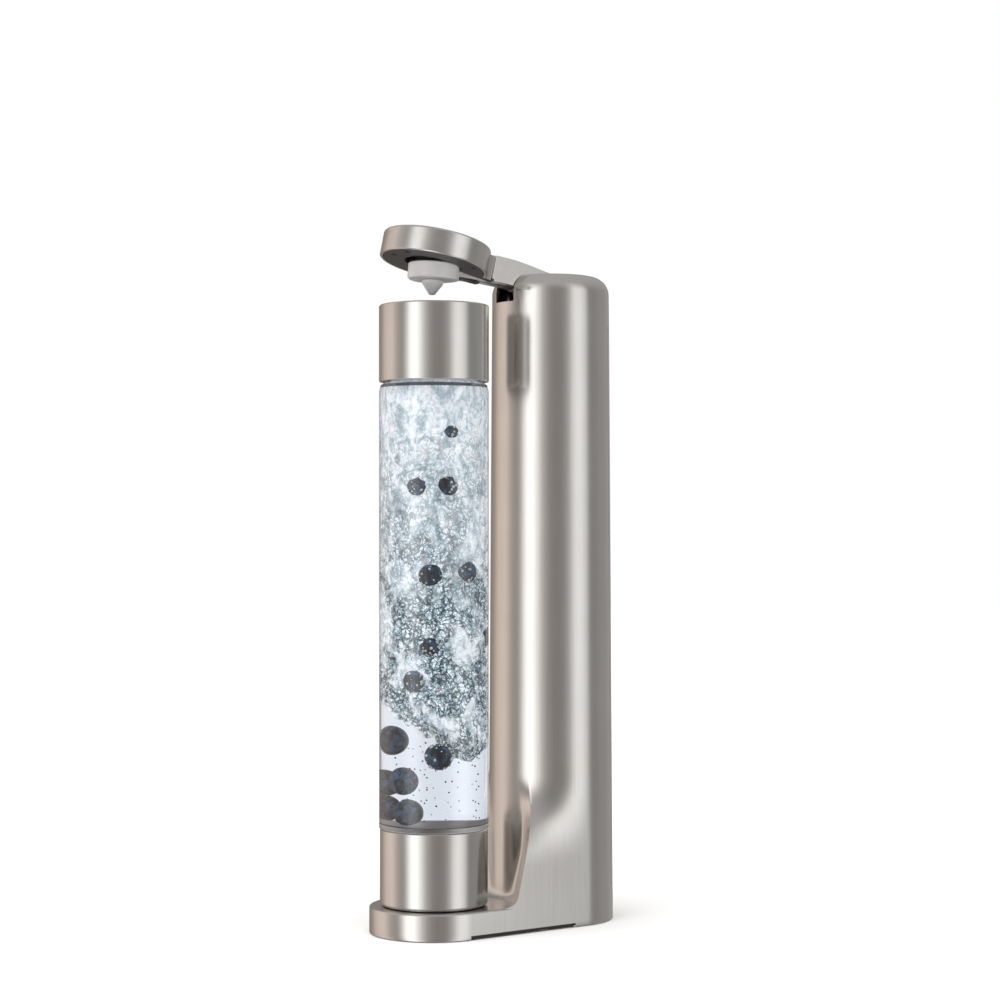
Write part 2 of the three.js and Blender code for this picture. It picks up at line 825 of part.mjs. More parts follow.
function baseCup() {
  const [z0, z1] = CUP_Z;
  const wall = 2.3;
  return turned(
    [
      [0, z0],
      [CUP_R - 1.6, z0],
      [CUP_R, z0 + 1.6],
      [CUP_R, z1 - 0.3],
      [CUP_R - 0.3, z1],
      [CUP_R - wall, z1],
      [CUP_R - wall, z0 + 2.4],
      [0, z0 + 2.4],
    ],
    0,
    BOTTLE_Y,
    36,
  );
}

const CAP_WALL = 2;
const CAP_TOP_T = 2.4;
const CORE_R = 32.9;
const SEAT_TOP_R = 12;

function capSleeve() {
  const [z0, z1] = CAP_Z;
  return turned(
    [
      [CAP_R - CAP_WALL, z0],
      [CAP_R - 0.3, z0],
      [CAP_R, z0 + 0.3],
      [CAP_R, z1 - 0.7],
      [CAP_R - 0.7, z1],
      [SEAT_TOP_R + 5, z1],
      [SEAT_TOP_R + 5, z1 - CAP_TOP_T],
      [CAP_R - CAP_WALL, z1 - CAP_TOP_T],
      [CAP_R - CAP_WALL, z0],
    ],
    0,
    BOTTLE_Y,
    36,
  );
}

function capCore() {
  const top = CAP_Z[1] - CAP_TOP_T - GAP;
  const core = turned(
    [
      [31, 354],
      [CORE_R, 354],
      [CORE_R, top],
      [SEAT_TOP_R + 4.7, top],
      [SEAT_TOP_R + 4.7, CAP_Z[1] - 0.6],
      [SEAT_TOP_R, CAP_Z[1] - 0.6],
      [SEAT_TOP_R - 2, 396.5],
      [8.3, 396.5],
      [8.3, 391.2],
      [2.4, 391.2],
      [2.4, 388],
      [6.6, 388],
      [6.6, 378.5],
      [31, 378.5],
      [31, 354],
    ],
    0,
    BOTTLE_Y,
    28,
  );
  return core.add(coil(31, THREAD_R * 2, 358.5, LEAD * 1.25, 1.25, Math.PI, 0, BOTTLE_Y));
}

function capGasket() {
  return ring(NECK_BORE - 0.8, 29, MOUTH_Z + 0.4, MOUTH_Z + 3.2, 0, BOTTLE_Y, 32);
}

function capSeat() {
  return turned(
    [
      [2.2, 391.5],
      [8, 391.5],
      [8, 398.4],
      [7, 398.4],
      [2.2, 393.6],
      [2.2, 391.5],
    ],
    0,
    BOTTLE_Y,
    24,
  );
}

function poppet() {
  return turned(
    [
      [0, 376.5],
      [1.5, 376.5],
      [1.5, 384.6],
      [5.6, 384.6],
      [5.6, 387.6],
      [1.9, 387.6],
      [1.9, 391],
      [1, 392.2],
      [0, 392.2],
    ],
    0,
    BOTTLE_Y,
    20,
  );
}

function poppetCage() {
  return turned(
    [
      [1.9, 375.2],
      [9, 375.2],
      [9, 378.2],
      [6.7, 378.2],
      [6.7, 376.8],
      [1.9, 376.8],
      [1.9, 375.2],
    ],
    0,
    BOTTLE_Y,
    16,
  );
}

function poppetSpring() {
  return coil(3.6, 0.45, 377.8, 6.1, 3.5, 0, 0, BOTTLE_Y);
}

// ---- gas cylinder ----

function gasCylinder() {
  const [z0, z1] = TANK_Z;
  return turned(
    [
      [0, z0 + 2.5],
      [22, z0],
      [TANK_R - 4, z0],
      [TANK_R, z0 + 4],
      [TANK_R, 292],
      [TANK_R - 2.5, 305],
      [TANK_R - 9, 317],
      [14, 327],
      [14, z1],
      [8, z1],
      [8, z1 - 10],
      [0, z1 - 10],
    ],
    0,
    AXIS_Y,
    32,
  );
}

function cylinderValve() {
  const shankR = VALVE_R - 0.9;
  let valve = turned(
    [
      [0, TANK_Z[1] - 7],
      [7.7, TANK_Z[1] - 7],
      [7.7, TANK_Z[1] + GAP],
      [11.6, TANK_Z[1] + GAP],
      [11.6, TANK_Z[1] + 4],
      [shankR, TANK_Z[1] + 5.2],
      [shankR, VALVE_TOP_Z],
      [0, VALVE_TOP_Z],
    ],
    0,
    AXIS_Y,
    24,
  );
  valve = valve.add(coil(shankR, 0.8, 348.5, 6, 1.5, 0, 0, AXIS_Y));
  return valve.subtract(rod(2, 350, VALVE_TOP_Z + OVER, 0, AXIS_Y, 12));
}

function valvePin() {
  return turned(
    [[0, 352], [1.7, 352], [1.7, 354], [1.2, 354], [1.2, 364.6], [0, 365.4]],
    0,
    AXIS_Y,
    16,
  );
}

function neckWasher() {
  return ring(12.4, 16, TANK_Z[1] + GAP, TANK_Z[1] + 3.2, 0, AXIS_Y, 20);
}

// ---- assembly ----

const SILVER = 0xd8d5d0;
const BLACK = 0x1c1c1e;
const WHITE = 0xf2f1ee;
const STEEL = 0x9a9c9f;
const BRASS = 0xb8924a;

add('body_shell', bodyShell(), SILVER);
add('rear_cover', rearCover(), SILVER);
add('base_plate', basePlate(), BLACK);
FEET.forEach((at, i) => add(`foot_${i + 1}`, foot(at), 0x2a2a2c));
BASE_POSTS.forEach(([x, y], i) => {
  add(`base_screw_${i + 1}`, screwUp(x, y, PLATE_Z[0] + 0.1, 2.9, 1.2, SCREW_R, 9.5), STEEL);
});
add('chassis', chassis(), 0x3a3b3d);
TOP_POSTS.forEach(([x, y], i) => {
  const headZ = CHASSIS_Z[0] - 1.9;
  add(`chassis_screw_${i + 1}`, screwUp(x, y, headZ, 2.9, 1.7, SCREW_R, 15), STEEL);
});
add('pivot_pin', pivotPin(), STEEL);
add('valve_block', valveBlock(), BRASS);
add('valve_seal', valveSeal(), BLACK);
add('outlet_fitting', outletFitting(), BRASS);
add('relief_valve', reliefValve(), BRASS);
add('gas_hose', gasHose(), 0x303236);
add('valve_plunger', plunger(), STEEL);
add('plunger_o_ring', plungerORing(), BLACK);
add('plunger_spring', plungerSpring(), STEEL);
add('return_spring', returnSpring(), STEEL);
add('press_lever', headShell(), SILVER);
add('lever_underplate', underPlate(), 0x6c655f);
HEAD_SCREWS.flatMap(([x, y]) => [[x, y], [-x, y]]).forEach(([x, y], i) => {
  add(`lever_screw_${i + 1}`, headScrew(x, y), STEEL);
});
add('nozzle_arm', nozzleArm(), WHITE);
add('nozzle_tip', nozzleTip(), WHITE);
add('nozzle_seal', nozzleSeal(), BLACK);
add('bottle_body', bottleBody(), 0xcfd8dc, { transparent: true, opacity: 0.35 });
add('base_cup', baseCup(), SILVER);
add('cap_sleeve', capSleeve(), SILVER);
add('cap_core', capCore(), 0x55575a);
add('cap_gasket', capGasket(), WHITE);
add('cap_seat', capSeat(), BLACK);
add('check_poppet', poppet(), WHITE);
add('poppet_cage', poppetCage(), 0x55575a);
add('poppet_spring', poppetSpring(), STEEL);
add('gas_cylinder', gasCylinder(), 0xb7babd);
add('cylinder_valve', cylinderValve(), BRASS);
add('valve_pin', valvePin(), STEEL);
add('neck_washer', neckWasher(), BLACK);

export default group;
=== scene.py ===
import math

import bmesh
import bpy
import numpy as np
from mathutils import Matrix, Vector


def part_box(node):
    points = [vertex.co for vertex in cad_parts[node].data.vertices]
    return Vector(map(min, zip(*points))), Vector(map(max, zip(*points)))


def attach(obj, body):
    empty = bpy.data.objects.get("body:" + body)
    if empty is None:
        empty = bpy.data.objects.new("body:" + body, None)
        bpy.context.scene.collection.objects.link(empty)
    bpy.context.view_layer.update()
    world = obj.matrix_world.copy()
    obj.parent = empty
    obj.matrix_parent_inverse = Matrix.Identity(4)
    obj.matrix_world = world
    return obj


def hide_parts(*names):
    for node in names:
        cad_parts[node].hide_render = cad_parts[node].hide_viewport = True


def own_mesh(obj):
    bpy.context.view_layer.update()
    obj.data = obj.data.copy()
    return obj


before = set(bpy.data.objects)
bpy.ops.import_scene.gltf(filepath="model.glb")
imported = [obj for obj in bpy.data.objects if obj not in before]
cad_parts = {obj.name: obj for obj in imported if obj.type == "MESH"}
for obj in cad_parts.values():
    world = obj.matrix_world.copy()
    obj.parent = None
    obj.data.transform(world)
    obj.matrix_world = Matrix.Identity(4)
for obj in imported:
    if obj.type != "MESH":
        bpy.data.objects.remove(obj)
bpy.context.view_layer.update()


# ---- Floor, light and camera ----
# A pale sweep of floor under an overhead sky, with two tall soft panels beside the lens
# and darker studio walls between them. Metal takes its bands from those walls and panels.
def feed(tree, node, inputs):
    """Sets each named socket of a node to a plain value, or wires it to the socket given."""
    for key, value in inputs.items():
        if isinstance(value, bpy.types.NodeSocket):
            tree.links.new(value, node.inputs[key])
        else:
            node.inputs[key].default_value = value


def add(tree, kind, inputs, **settings):
    """One new node of that kind with its settings and its sockets fed."""
    made = tree.nodes.new("ShaderNode" + kind)
    for key, value in settings.items():
        setattr(made, key, value)
    feed(tree, made, inputs)
    return made


def sums(tree, operation, *terms):
    """The result of one sum on the terms, each a number or a socket."""
    return add(tree, "Math", dict(enumerate(terms)), operation=operation).outputs[0]


def graded(tree, source, stops):
    """A colour read from a row of (place, (red, green, blue)) stops, straight between them."""
    made = add(tree, "ValToRGB", {0: source})
    steps = made.color_ramp.elements
    while len(steps) < len(stops):
        steps.new(0.5)
    for step, (place, _) in zip(steps, stops):
        step.position = place
    for step, (_, colour) in zip(steps, stops):
        step.color = (*colour, 1)
    return made.outputs[0]


def studio_floor():
    """A flat square, ten metres a side, at height zero."""
    side = 5.0
    mesh = bpy.data.meshes.new("studio_floor")
    corners = [(-side, -side, 0), (side, -side, 0), (side, side, 0), (-side, side, 0)]
    mesh.from_pydata(corners, [], [(0, 1, 2, 3)])
    floor = bpy.data.objects.new("studio_floor", mesh)
    bpy.context.collection.objects.link(floor)
    paint = bpy.data.materials.new("floor_paint")
    paint.use_nodes = True
    feed(paint.node_tree, paint.node_tree.nodes["Principled BSDF"], {
        "Base Color": (0.93, 0.93, 0.925, 1), "Roughness": 0.9, "Specular IOR Level": 0.1})
    mesh.materials.append(paint)
    floor.visible_glossy = False
    floor.visible_transmission = False


def studio_world(facing):
    """Sky colour from the compass angle of a ray: a ramp of walls and panels round the room.

    facing is the compass angle, in degrees, of the camera as seen from the object. The
    ceiling's grey takes over as the ray climbs. What is seen straight on is plain white."""
    world = bpy.data.worlds.new("studio_world")
    bpy.context.scene.world = world
    world.use_nodes = True
    tree = world.node_tree
    tree.nodes.clear()
    where = tree.nodes.new("ShaderNodeTexCoord")
    split = add(tree, "SeparateXYZ", {0: where.outputs["Generated"]})
    turn = sums(tree, "ARCTAN2", split.outputs["Y"], split.outputs["X"])
    lap = sums(tree, "MULTIPLY_ADD", turn, 1 / (2 * math.pi), 1.5 - facing / 360)
    walls = [
        (-180, 0.26, 0.24, 0.235), (-150, 0.31, 0.265, 0.235), (-136, 0.46, 0.39, 0.34),
        (-122, 0.80, 0.66, 0.57), (-108, 0.86, 0.73, 0.65), (-98, 0.92, 0.80, 0.71),
        (-84, 0.58, 0.50, 0.46), (-76, 0.42, 0.38, 0.35), (-66, 0.34, 0.31, 0.29),
        (-58, 0.68, 0.66, 0.64), (-50, 1.55, 1.53, 1.50), (-42, 1.75, 1.72, 1.69),
        (-34, 1.70, 1.67, 1.64), (-26, 1.15, 1.12, 1.09), (-17, 0.60, 0.57, 0.55),
        (-4, 0.33, 0.31, 0.295), (8, 0.28, 0.26, 0.25), (22, 0.29, 0.275, 0.265),
        (34, 0.47, 0.455, 0.445), (42, 0.92, 0.90, 0.88), (48, 1.18, 1.17, 1.14),
        (58, 1.15, 1.14, 1.12), (68, 0.95, 0.94, 0.92), (73, 0.74, 0.73, 0.71),
        (79, 0.27, 0.265, 0.26), (96, 0.31, 0.305, 0.295), (110, 0.35, 0.34, 0.33),
        (128, 0.36, 0.35, 0.34), (145, 0.42, 0.40, 0.39), (180, 0.33, 0.31, 0.30),
    ]
    round_room = [((angle + 180) / 360, colour) for angle, *colour in walls]
    ring = graded(tree, sums(tree, "FRACT", lap), round_room)
    climb = add(tree, "MapRange", {
        "Value": split.outputs["Z"], "From Min": 0.25, "From Max": 0.80})
    ceiling = (0.50, 0.49, 0.48, 1)
    dome = add(tree, "Mix", {}, data_type="RGBA")
    feed(tree, dome, {0: climb.outputs[0], 6: ring, 7: ceiling})
    room = add(tree, "Background", {"Color": dome.outputs[2]})
    blank = add(tree, "Background", {"Color": (1.0, 1.0, 1.0, 1)})
    path = tree.nodes.new("ShaderNodeLightPath")
    bounces = sums(tree, "ADD", path.outputs["Glossy Depth"], path.outputs["Diffuse Depth"])
    straight = sums(tree, "LESS_THAN", bounces, 0.5)
    through = sums(tree, "MULTIPLY", path.outputs["Is Transmission Ray"], straight)
    clear = sums(tree, "MAXIMUM", path.outputs["Is Camera Ray"], through)
    mix = add(tree, "MixShader", {0: clear, 1: room.outputs[0], 2: blank.outputs[0]})
    add(tree, "OutputWorld", {"Surface": mix.outputs[0]})


SENSOR, REACH = 36, 2.27


def studio_camera(azimuth, distance, height, aim_shift):
    """A level lens at that compass angle and distance from the bottle's axis."""
    low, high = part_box("cap_sleeve")
    axis = (low + high) / 2
    turn = math.radians(azimuth)
    right = Vector((math.cos(turn), math.sin(turn), 0))
    back = Vector((math.sin(turn), -math.cos(turn), 0))
    lens = bpy.data.cameras.new("lens")
    lens.sensor_width = SENSOR
    lens.lens = SENSOR * REACH
    lens.shift_y = 0.035
    lens.clip_start = 0.05
    lens.clip_end = 50
    camera = bpy.data.objects.new("camera", lens)
    spot = Vector((axis.x, axis.y, height)) + back * distance + right * aim_shift
    camera.location = spot
    camera.rotation_mode = "QUATERNION"
    camera.rotation_quaternion = (-back).to_track_quat("-Z", "Y")
    bpy.context.collection.objects.link(camera)
    bpy.context.scene.camera = camera


studio_floor()
studio_world(facing=-36)
studio_camera(azimuth=54, distance=1.458, height=0.2548, aim_shift=0.0424)
sky = bpy.data.lights.new("overhead", "SUN")
sky.energy = 2.6
sky.angle = math.radians(70)
sky_object = bpy.data.objects.new("overhead", sky)
sky_object.rotation_euler = (math.radians(12), math.radians(8), 0)
bpy.context.collection.objects.link(sky_object)
sky_object.visible_glossy = False
bpy.context.scene.view_settings.view_transform = "Standard"


# ---- Tower and base shell ----
# One drawn stainless skin: a long round-ended base, a scooped web and a tapering round
# tower with a rolled top. It is open below, at the back and where the lever passes.
BASE_R, TOP_R, HEIGHT = 0.0415, 0.0388, 0.426
AXIS = 0.047
DECK = 0.0175
WALL = 0.0022
SCOOP_R = 0.0543
SCOOP_LEAN = 0.165
DECK_CURVE = 0.006
ROOF_CURVE = 0.012
SIDE_TURN, FRONT_TURN = 57.5, 65
DOME = 0.0002


def mesh_piece(name, points, faces, crease=35):
    """A mesh object from an array of points and a list or array of faces, smooth but
    for turns sharper than the crease angle in degrees."""
    mesh = bpy.data.meshes.new(name)
    mesh.from_pydata(np.asarray(points).reshape(-1, 3).tolist(), [], [list(f) for f in faces])
    mesh.validate()
    piece = bpy.data.objects.new(name, mesh)
    bpy.context.collection.objects.link(piece)
    mesh.shade_smooth()
    mesh.set_sharp_from_angle(angle=math.radians(crease))
    return piece


def grid_faces(rows, cols, closed=True, start=0):
    """Quads of a rows by cols grid of points numbered row by row; closed joins the last
    column to the first."""
    wide = cols if closed else cols - 1
    j, i = np.meshgrid(np.arange(rows - 1), np.arange(wide), indexing="ij")
    k = (i + 1) % cols
    quads = np.stack([j * cols + i, j * cols + k, (j + 1) * cols + k, (j + 1) * cols + i], -1)
    return quads.reshape(-1, 4) + start


def tower_radius(z):
    """The tower narrows in a straight line from its foot to its top."""
    return BASE_R + (TOP_R - BASE_R) * z / HEIGHT


def smooth_step(z, low, high):
    """Nought below low, one above high, and an S of three t squared less two t cubed."""
    t = np.clip((z - low) / (high - low), 0, 1)
    return t * t * (3 - 2 * t)


def shell_rows(inset):
    """Rings of the skin from its lower edge up to the top, each of the same columns.

    A column runs up one line of the skin. Round the base it follows a round-ended
    oblong. The front columns then cross the deck to the scoop, an arc about the bottle,
    and above the deck each ring is the scoop and flat sides, blended by an S curve into
    the tower's circle. inset moves the whole skin inwards, for its inner face."""
    rear, side, front = 96, 26, 120
    edge_y = -0.012 + inset * 0.35
    w = BASE_R - inset
    a = np.linspace(0, np.pi, rear, endpoint=False)
    t_side = np.linspace(0, 1, side, endpoint=False)
    t_front = np.linspace(0, 1, front, endpoint=False)
    group = np.concatenate([np.zeros(rear), np.ones(side), 2 * np.ones(front), 3 * np.ones(side)])
    is_front = group == 2
    run = AXIS + edge_y
    length = 2 * run + np.pi * w

    def oblong(pull):
        """The base's outline, pulled in by an amount at each column."""
        r = w - pull
        s = t_front * length
        back_x = r[is_front]
        first = s < run
        last = s > length - run
        bow = np.pi + (s - run) / w
        x = np.where(first, -back_x, np.where(last, back_x, back_x * np.cos(bow)))
        y_bow = -AXIS + back_x * np.sin(bow)
        y = np.where(first, edge_y - s, np.where(last, edge_y - (length - s), y_bow))
        down = AXIS + (edge_y - AXIS) * t_side
        up = edge_y + (AXIS - edge_y) * t_side
        xs = np.concatenate([r[:rear] * np.cos(a), -r[group == 1], x, r[group == 3]])
        ys = np.concatenate([AXIS + r[:rear] * np.sin(a), down, y, up])
        return xs, ys

    def web(z):
        """The outline above the deck at height z."""
        h = max(z - DECK, 0.0)
        drop = max(DECK_CURVE - h, 0.0)
        curve = DECK_CURVE - math.sqrt(DECK_CURVE**2 - drop**2)
        scoop = SCOOP_R + SCOOP_LEAN * h - curve + inset
        blend = float(smooth_step(z, 0.043, 0.100))
        r = tower_radius(z) - inset
        edge = -AXIS + math.sqrt(scoop**2 - r**2)
        spread = math.asin(r / scoop)
        turn = math.radians(SIDE_TURN)
        along = AXIS + (edge - AXIS) * t_side
        back = edge + (AXIS - edge) * t_side
        fan = np.pi / 2 + spread - 2 * spread * t_front
        flat_x = np.concatenate([-r * np.ones(side), scoop * np.cos(fan), r * np.ones(side)])
        flat_y = np.concatenate([along, -AXIS + scoop * np.sin(fan), back])
        round_a = np.concatenate([
            np.pi + turn * t_side,
            np.pi + turn + (np.pi - 2 * turn) * t_front,
            -turn + turn * t_side,
        ])
        x = flat_x + (r * np.cos(round_a) - flat_x) * blend
        y = flat_y + (AXIS + r * np.sin(round_a) - flat_y) * blend
        far = np.hypot(x, y - AXIS)
        soft = 0.003 * (1 - blend)
        push = (far + r + np.sqrt((far - r) ** 2 + soft**2)) / 2 / far
        push = np.where(is_front[rear:], push, 1.0)
        x, y = x * push, AXIS + (y - AXIS) * push
        return np.concatenate([r * np.cos(a), x]), np.concatenate([AXIS + r * np.sin(a), y])

    s = t_front * length
    from_edge = np.minimum(s, length - s)
    rolled = np.zeros(len(group))
    rolled[is_front] = smooth_step(from_edge, 0, 0.008)
    roll = max(0.0012 - inset, 0.0003)
    top = DECK - inset
    ones = np.ones(len(group))
    rows = []
    for pull, z in ((0.0005, 0.0006), (0.00015, 0.00075), (0, 0.0011), (0, 0.004), (0, 0.009)):
        x, y = oblong(pull * ones)
        rows.append(np.stack([x, y, z * ones], 1))
    shoulder = top - roll
    for angle in np.radians([0, 18, 36, 54, 72, 90]):
        x, y = oblong(roll * (1 - math.cos(angle)) * rolled)
        z = shoulder + roll * math.sin(angle) * (0.5 + 0.5 * rolled)
        rows.append(np.stack([x, y, z], 1))
    deck_x, deck_y = rows[-1][:, 0], rows[-1][:, 1]
    foot_x, foot_y = web(DECK)
    for t in np.linspace(0, 1, 10)[1:]:
        x = deck_x + (foot_x - deck_x) * t
        y = deck_y + (foot_y - deck_y) * t
        climb = shoulder + roll * (0.5 + 0.5 * rolled)
        rows.append(np.stack([x, y, climb + (top - climb) * t], 1))
    heights = np.concatenate([
        DECK + DECK_CURVE * (1 - np.cos(np.linspace(0, np.pi / 2, 9)[1:])),
        np.linspace(0.0255, 0.043, 6),
        np.linspace(0.045, 0.104, 32),
        [0.13, 0.20, 0.27, 0.34, 0.39],
    ])
    for z in heights:
        x, y = web(z)
        ease = inset * max(0.0, 1 - (z - DECK) / DECK_CURVE)
        rows.append(np.stack([x, y, (z - ease) * ones], 1))
    side_turn, front_turn = math.radians(SIDE_TURN), math.radians(FRONT_TURN)
    whole = np.concatenate([
        a, np.pi + side_turn * t_side, np.pi + side_turn + front_turn * t_front,
        -side_turn * (1 - t_side)])
    bend = ROOF_CURVE - inset
    for angle in np.radians(np.linspace(0, 90, 11)):
        r = TOP_R - ROOF_CURVE + bend * math.cos(angle)
        z = HEIGHT - ROOF_CURVE + bend * math.sin(angle)
        rows.append(np.stack([r * np.cos(whole), AXIS + r * np.sin(whole), z * ones], 1))
    for share in (0.8, 0.6, 0.4, 0.2, 0.05):
        r = (TOP_R - ROOF_CURVE) * share
        z = HEIGHT - inset + DOME * (1 - share)
        rows.append(np.stack([r * np.cos(whole), AXIS + r * np.sin(whole), z * ones], 1))
    return np.array(rows)


def prism(outline, low, high, axes=(0, 1, 2)):
    """A closed prism: a plane outline carried from low to high along the third axis."""
    n = len(outline)
    flat = np.array(outline, float)
    points = np.zeros((2 * n, 3))
    points[:n, axes[0]] = points[n:, axes[0]] = flat[:, 0]
    points[:n, axes[1]] = points[n:, axes[1]] = flat[:, 1]
    points[:n, axes[2]], points[n:, axes[2]] = low, high
    faces = [list(range(n))[::-1], list(range(n, 2 * n))]
    faces += [[i, (i + 1) % n, n + (i + 1) % n, n + i] for i in range(n)]
    return points, faces


def cut_from(piece, prisms, mode="DIFFERENCE"):
    """Takes closed prisms out of a piece and keeps the result as its mesh."""
    points, faces, count = [], [], 0
    for p, f in prisms:
        points.append(p)
        faces += [[i + count for i in face] for face in f]
        count += len(p)
    tool = mesh_piece("tool", np.concatenate(points), faces)
    mend = bmesh.new()
    mend.from_mesh(tool.data)
    bmesh.ops.recalc_face_normals(mend, faces=mend.faces)
    mend.to_mesh(tool.data)
    mend.free()
    cut = piece.modifiers.new("cut", "BOOLEAN")
    cut.operation = mode
    cut.solver = "EXACT"
    cut.object = tool
    bpy.context.view_layer.update()
    seen = piece.evaluated_get(bpy.context.evaluated_depsgraph_get())
    done = bpy.data.meshes.new_from_object(seen)
    piece.modifiers.clear()
    old = piece.data
    piece.data = done
    bpy.data.meshes.remove(old)
    bpy.data.objects.remove(tool)
    done.shade_smooth()
    done.set_sharp_from_angle(angle=math.radians(35))
    return piece


def sector(half, low, high):
    """A wedge-shaped ring about the tower's axis, open to the rear, half degrees each way."""
    a = np.radians(np.linspace(90 - half, 90 + half, 25))
    outer = np.stack([0.060 * np.cos(a), AXIS + 0.060 * np.sin(a)], 1)
    inner = np.stack([0.020 * np.cos(a[::-1]), AXIS + 0.020 * np.sin(a[::-1])], 1)
    return prism(np.concatenate([outer, inner]), low, high)


def box_prism(x, y, z):
    """A plain box as a prism along Z."""
    return prism([(x[0], y[0]), (x[1], y[0]), (x[1], y[1]), (x[0], y[1])], z[0], z[1])


def new_paint(name):
    """A new finish: the material, its node tree, its shader and the piece's own place."""
    paint = bpy.data.materials.new(name)
    paint.use_nodes = True
    tree = paint.node_tree
    where = tree.nodes.new("ShaderNodeTexCoord").outputs["Object"]
    return paint, tree, tree.nodes["Principled BSDF"], where


def cloudy(tree, where, scale, detail, rough=0.5, bend=0.0):
    """Cloudy noise, from nought to one, with that many clouds to the metre."""
    made = add(tree, "TexNoise", {
        "Vector": where, "Scale": scale, "Detail": detail, "Roughness": rough,
        "Distortion": bend})
    return made.outputs["Fac"]


def stretched(tree, where, scale):
    """A place with its three directions scaled."""
    return add(tree, "Mapping", {"Vector": where, "Scale": scale}).outputs[0]


def spread(tree, source, low, high, start=0.0, end=1.0):
    """A value that runs from low to high, in a straight line, as the source goes from
    start to end, and stays there beyond them."""
    made = add(tree, "MapRange", {
        "Value": source, "From Min": start, "From Max": end, "To Min": low, "To Max": high})
    return made.outputs[0]


def relief(tree, height, strength, distance):
    """A surface that seems raised where the height is large."""
    made = add(tree, "Bump", {"Height": height, "Strength": strength, "Distance": distance})
    return made.outputs[0]


def satin_steel(name, tint, grain, rough, streak):
    """Satin steel: near-white metal whose roughness and tint drift a little, with a fine
    polish grain. grain is the noise scale along X, Y and Z, low along the polish."""
    paint, tree, shader, where = new_paint(name)
    fine = cloudy(tree, stretched(tree, where, grain), 1.0, 6.0, 0.65)
    lines = cloudy(tree, stretched(tree, where, [0.3 * g for g in grain]), 1.0, 3.0)
    darker = (tint[0] * 0.96, tint[1] * 0.955, tint[2] * 0.95)
    tone = graded(tree, cloudy(tree, where, 26.0, 3.0), [(0.3, darker), (0.7, tint)])
    drawn = add(tree, "VectorMath", {
        0: tone, "Scale": spread(tree, lines, 0.92, 1.05)}, operation="SCALE")
    feed(tree, shader, {
        "Metallic": 1.0, "Base Color": drawn.outputs[0],
        "Roughness": spread(tree, fine, rough - 0.03, rough + 0.05),
        "Normal": relief(tree, fine, streak, 0.00002)})
    return paint


steel_tint = (0.70, 0.69, 0.68)
upright_steel = satin_steel("upright_steel", steel_tint, (2600, 2600, 60), 0.21, 0.25)

outer_skin = shell_rows(0.0)
inner_skin = shell_rows(WALL)
rows, cols = outer_skin.shape[:2]
shell_points = np.concatenate([
    outer_skin.reshape(-1, 3), inner_skin.reshape(-1, 3),
    [[0, AXIS, HEIGHT + DOME], [0, AXIS, HEIGHT - WALL + DOME]],
])
outside = grid_faces(rows, cols)
inside = grid_faces(rows, cols, start=rows * cols)[:, ::-1]
ring_i = np.arange(cols)
ring_k = (ring_i + 1) % cols
lip = np.stack([ring_k, ring_i, ring_i + rows * cols, ring_k + rows * cols], 1)
top_row = (rows - 1) * cols
pole = len(shell_points) - 2
cap_out = np.stack([top_row + ring_i, top_row + ring_k, np.full(cols, pole)], 1)
top_in = top_row + rows * cols
cap_in = np.stack([top_in + ring_k, top_in + ring_i, np.full(cols, pole + 1)], 1)
shell_faces = [f for part in (outside, inside, lip, cap_out, cap_in) for f in part.tolist()]
shell = mesh_piece("tower_shell", shell_points, shell_faces)
DOOR_HALF = 53
lever_slot = box_prism((-0.0096, 0.0096), (-0.010, 0.0595), (0.4079, 0.440))
low_notch = box_prism((-0.060, 0.060), (-0.047, 0.036), (-0.002, 0.0030))
cut_from(shell, [lever_slot, low_notch, sector(DOOR_HALF, 0.024, 0.392)])
shell.data.materials.append(upright_steel)
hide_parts("body_shell")
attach(shell, "housing")


# ---- Screw posts in the shell ----
# Steel posts welded inside the shell: four under the deck for the base plate's screws
# and four under the roof for the chassis. Each is drilled to take a screw.
def skin_of_turning(profile, centre, turns):
    """Points of a profile of (radius, height) pairs swept round a vertical axis:
    x = cx + r cos a, y = cy + r sin a, z = h."""
    flat = np.array(profile, float)
    a = np.linspace(0, 2 * np.pi, turns, endpoint=False)
    r, h = flat[:, 0][:, None], flat[:, 1][:, None]
    return np.stack([centre[0] + r * np.cos(a), centre[1] + r * np.sin(a), h + 0 * a], -1)


def eased(profile, radius, steps=4):
    """A profile with each corner swapped for a small curve that starts and ends radius
    away from it. The two ends stay."""
    out = [profile[0]]
    for before, corner, after in zip(profile, profile[1:], profile[2:]):
        p, c, n = (np.array(v, float) for v in (before, corner, after))
        back, ahead = p - c, n - c
        reach = min(radius, np.hypot(*back) * 0.45, np.hypot(*ahead) * 0.45)
        start = c + back / np.hypot(*back) * reach
        end = c + ahead / np.hypot(*ahead) * reach
        for t in np.linspace(0, 1, steps + 1):
            out.append(tuple((1 - t) ** 2 * start + 2 * t * (1 - t) * c + t * t * end))
    out.append(profile[-1])
    return out


def closed_by_poles(rings, ends):
    """Points and faces of a stack of rings, closed by a fan of triangles from the first
    ring to the first end point and from the last ring to the second."""
    n, cols = rings.shape[:2]
    i = np.arange(cols)
    k = (i + 1) % cols
    last, pole = (n - 1) * cols, n * cols
    faces = grid_faces(n, cols).tolist()
    faces += np.stack([k, i, np.full(cols, pole)], 1).tolist()
    faces += np.stack([last + i, last + k, np.full(cols, pole + 1)], 1).tolist()
    return np.concatenate([rings.reshape(-1, 3), ends]), faces


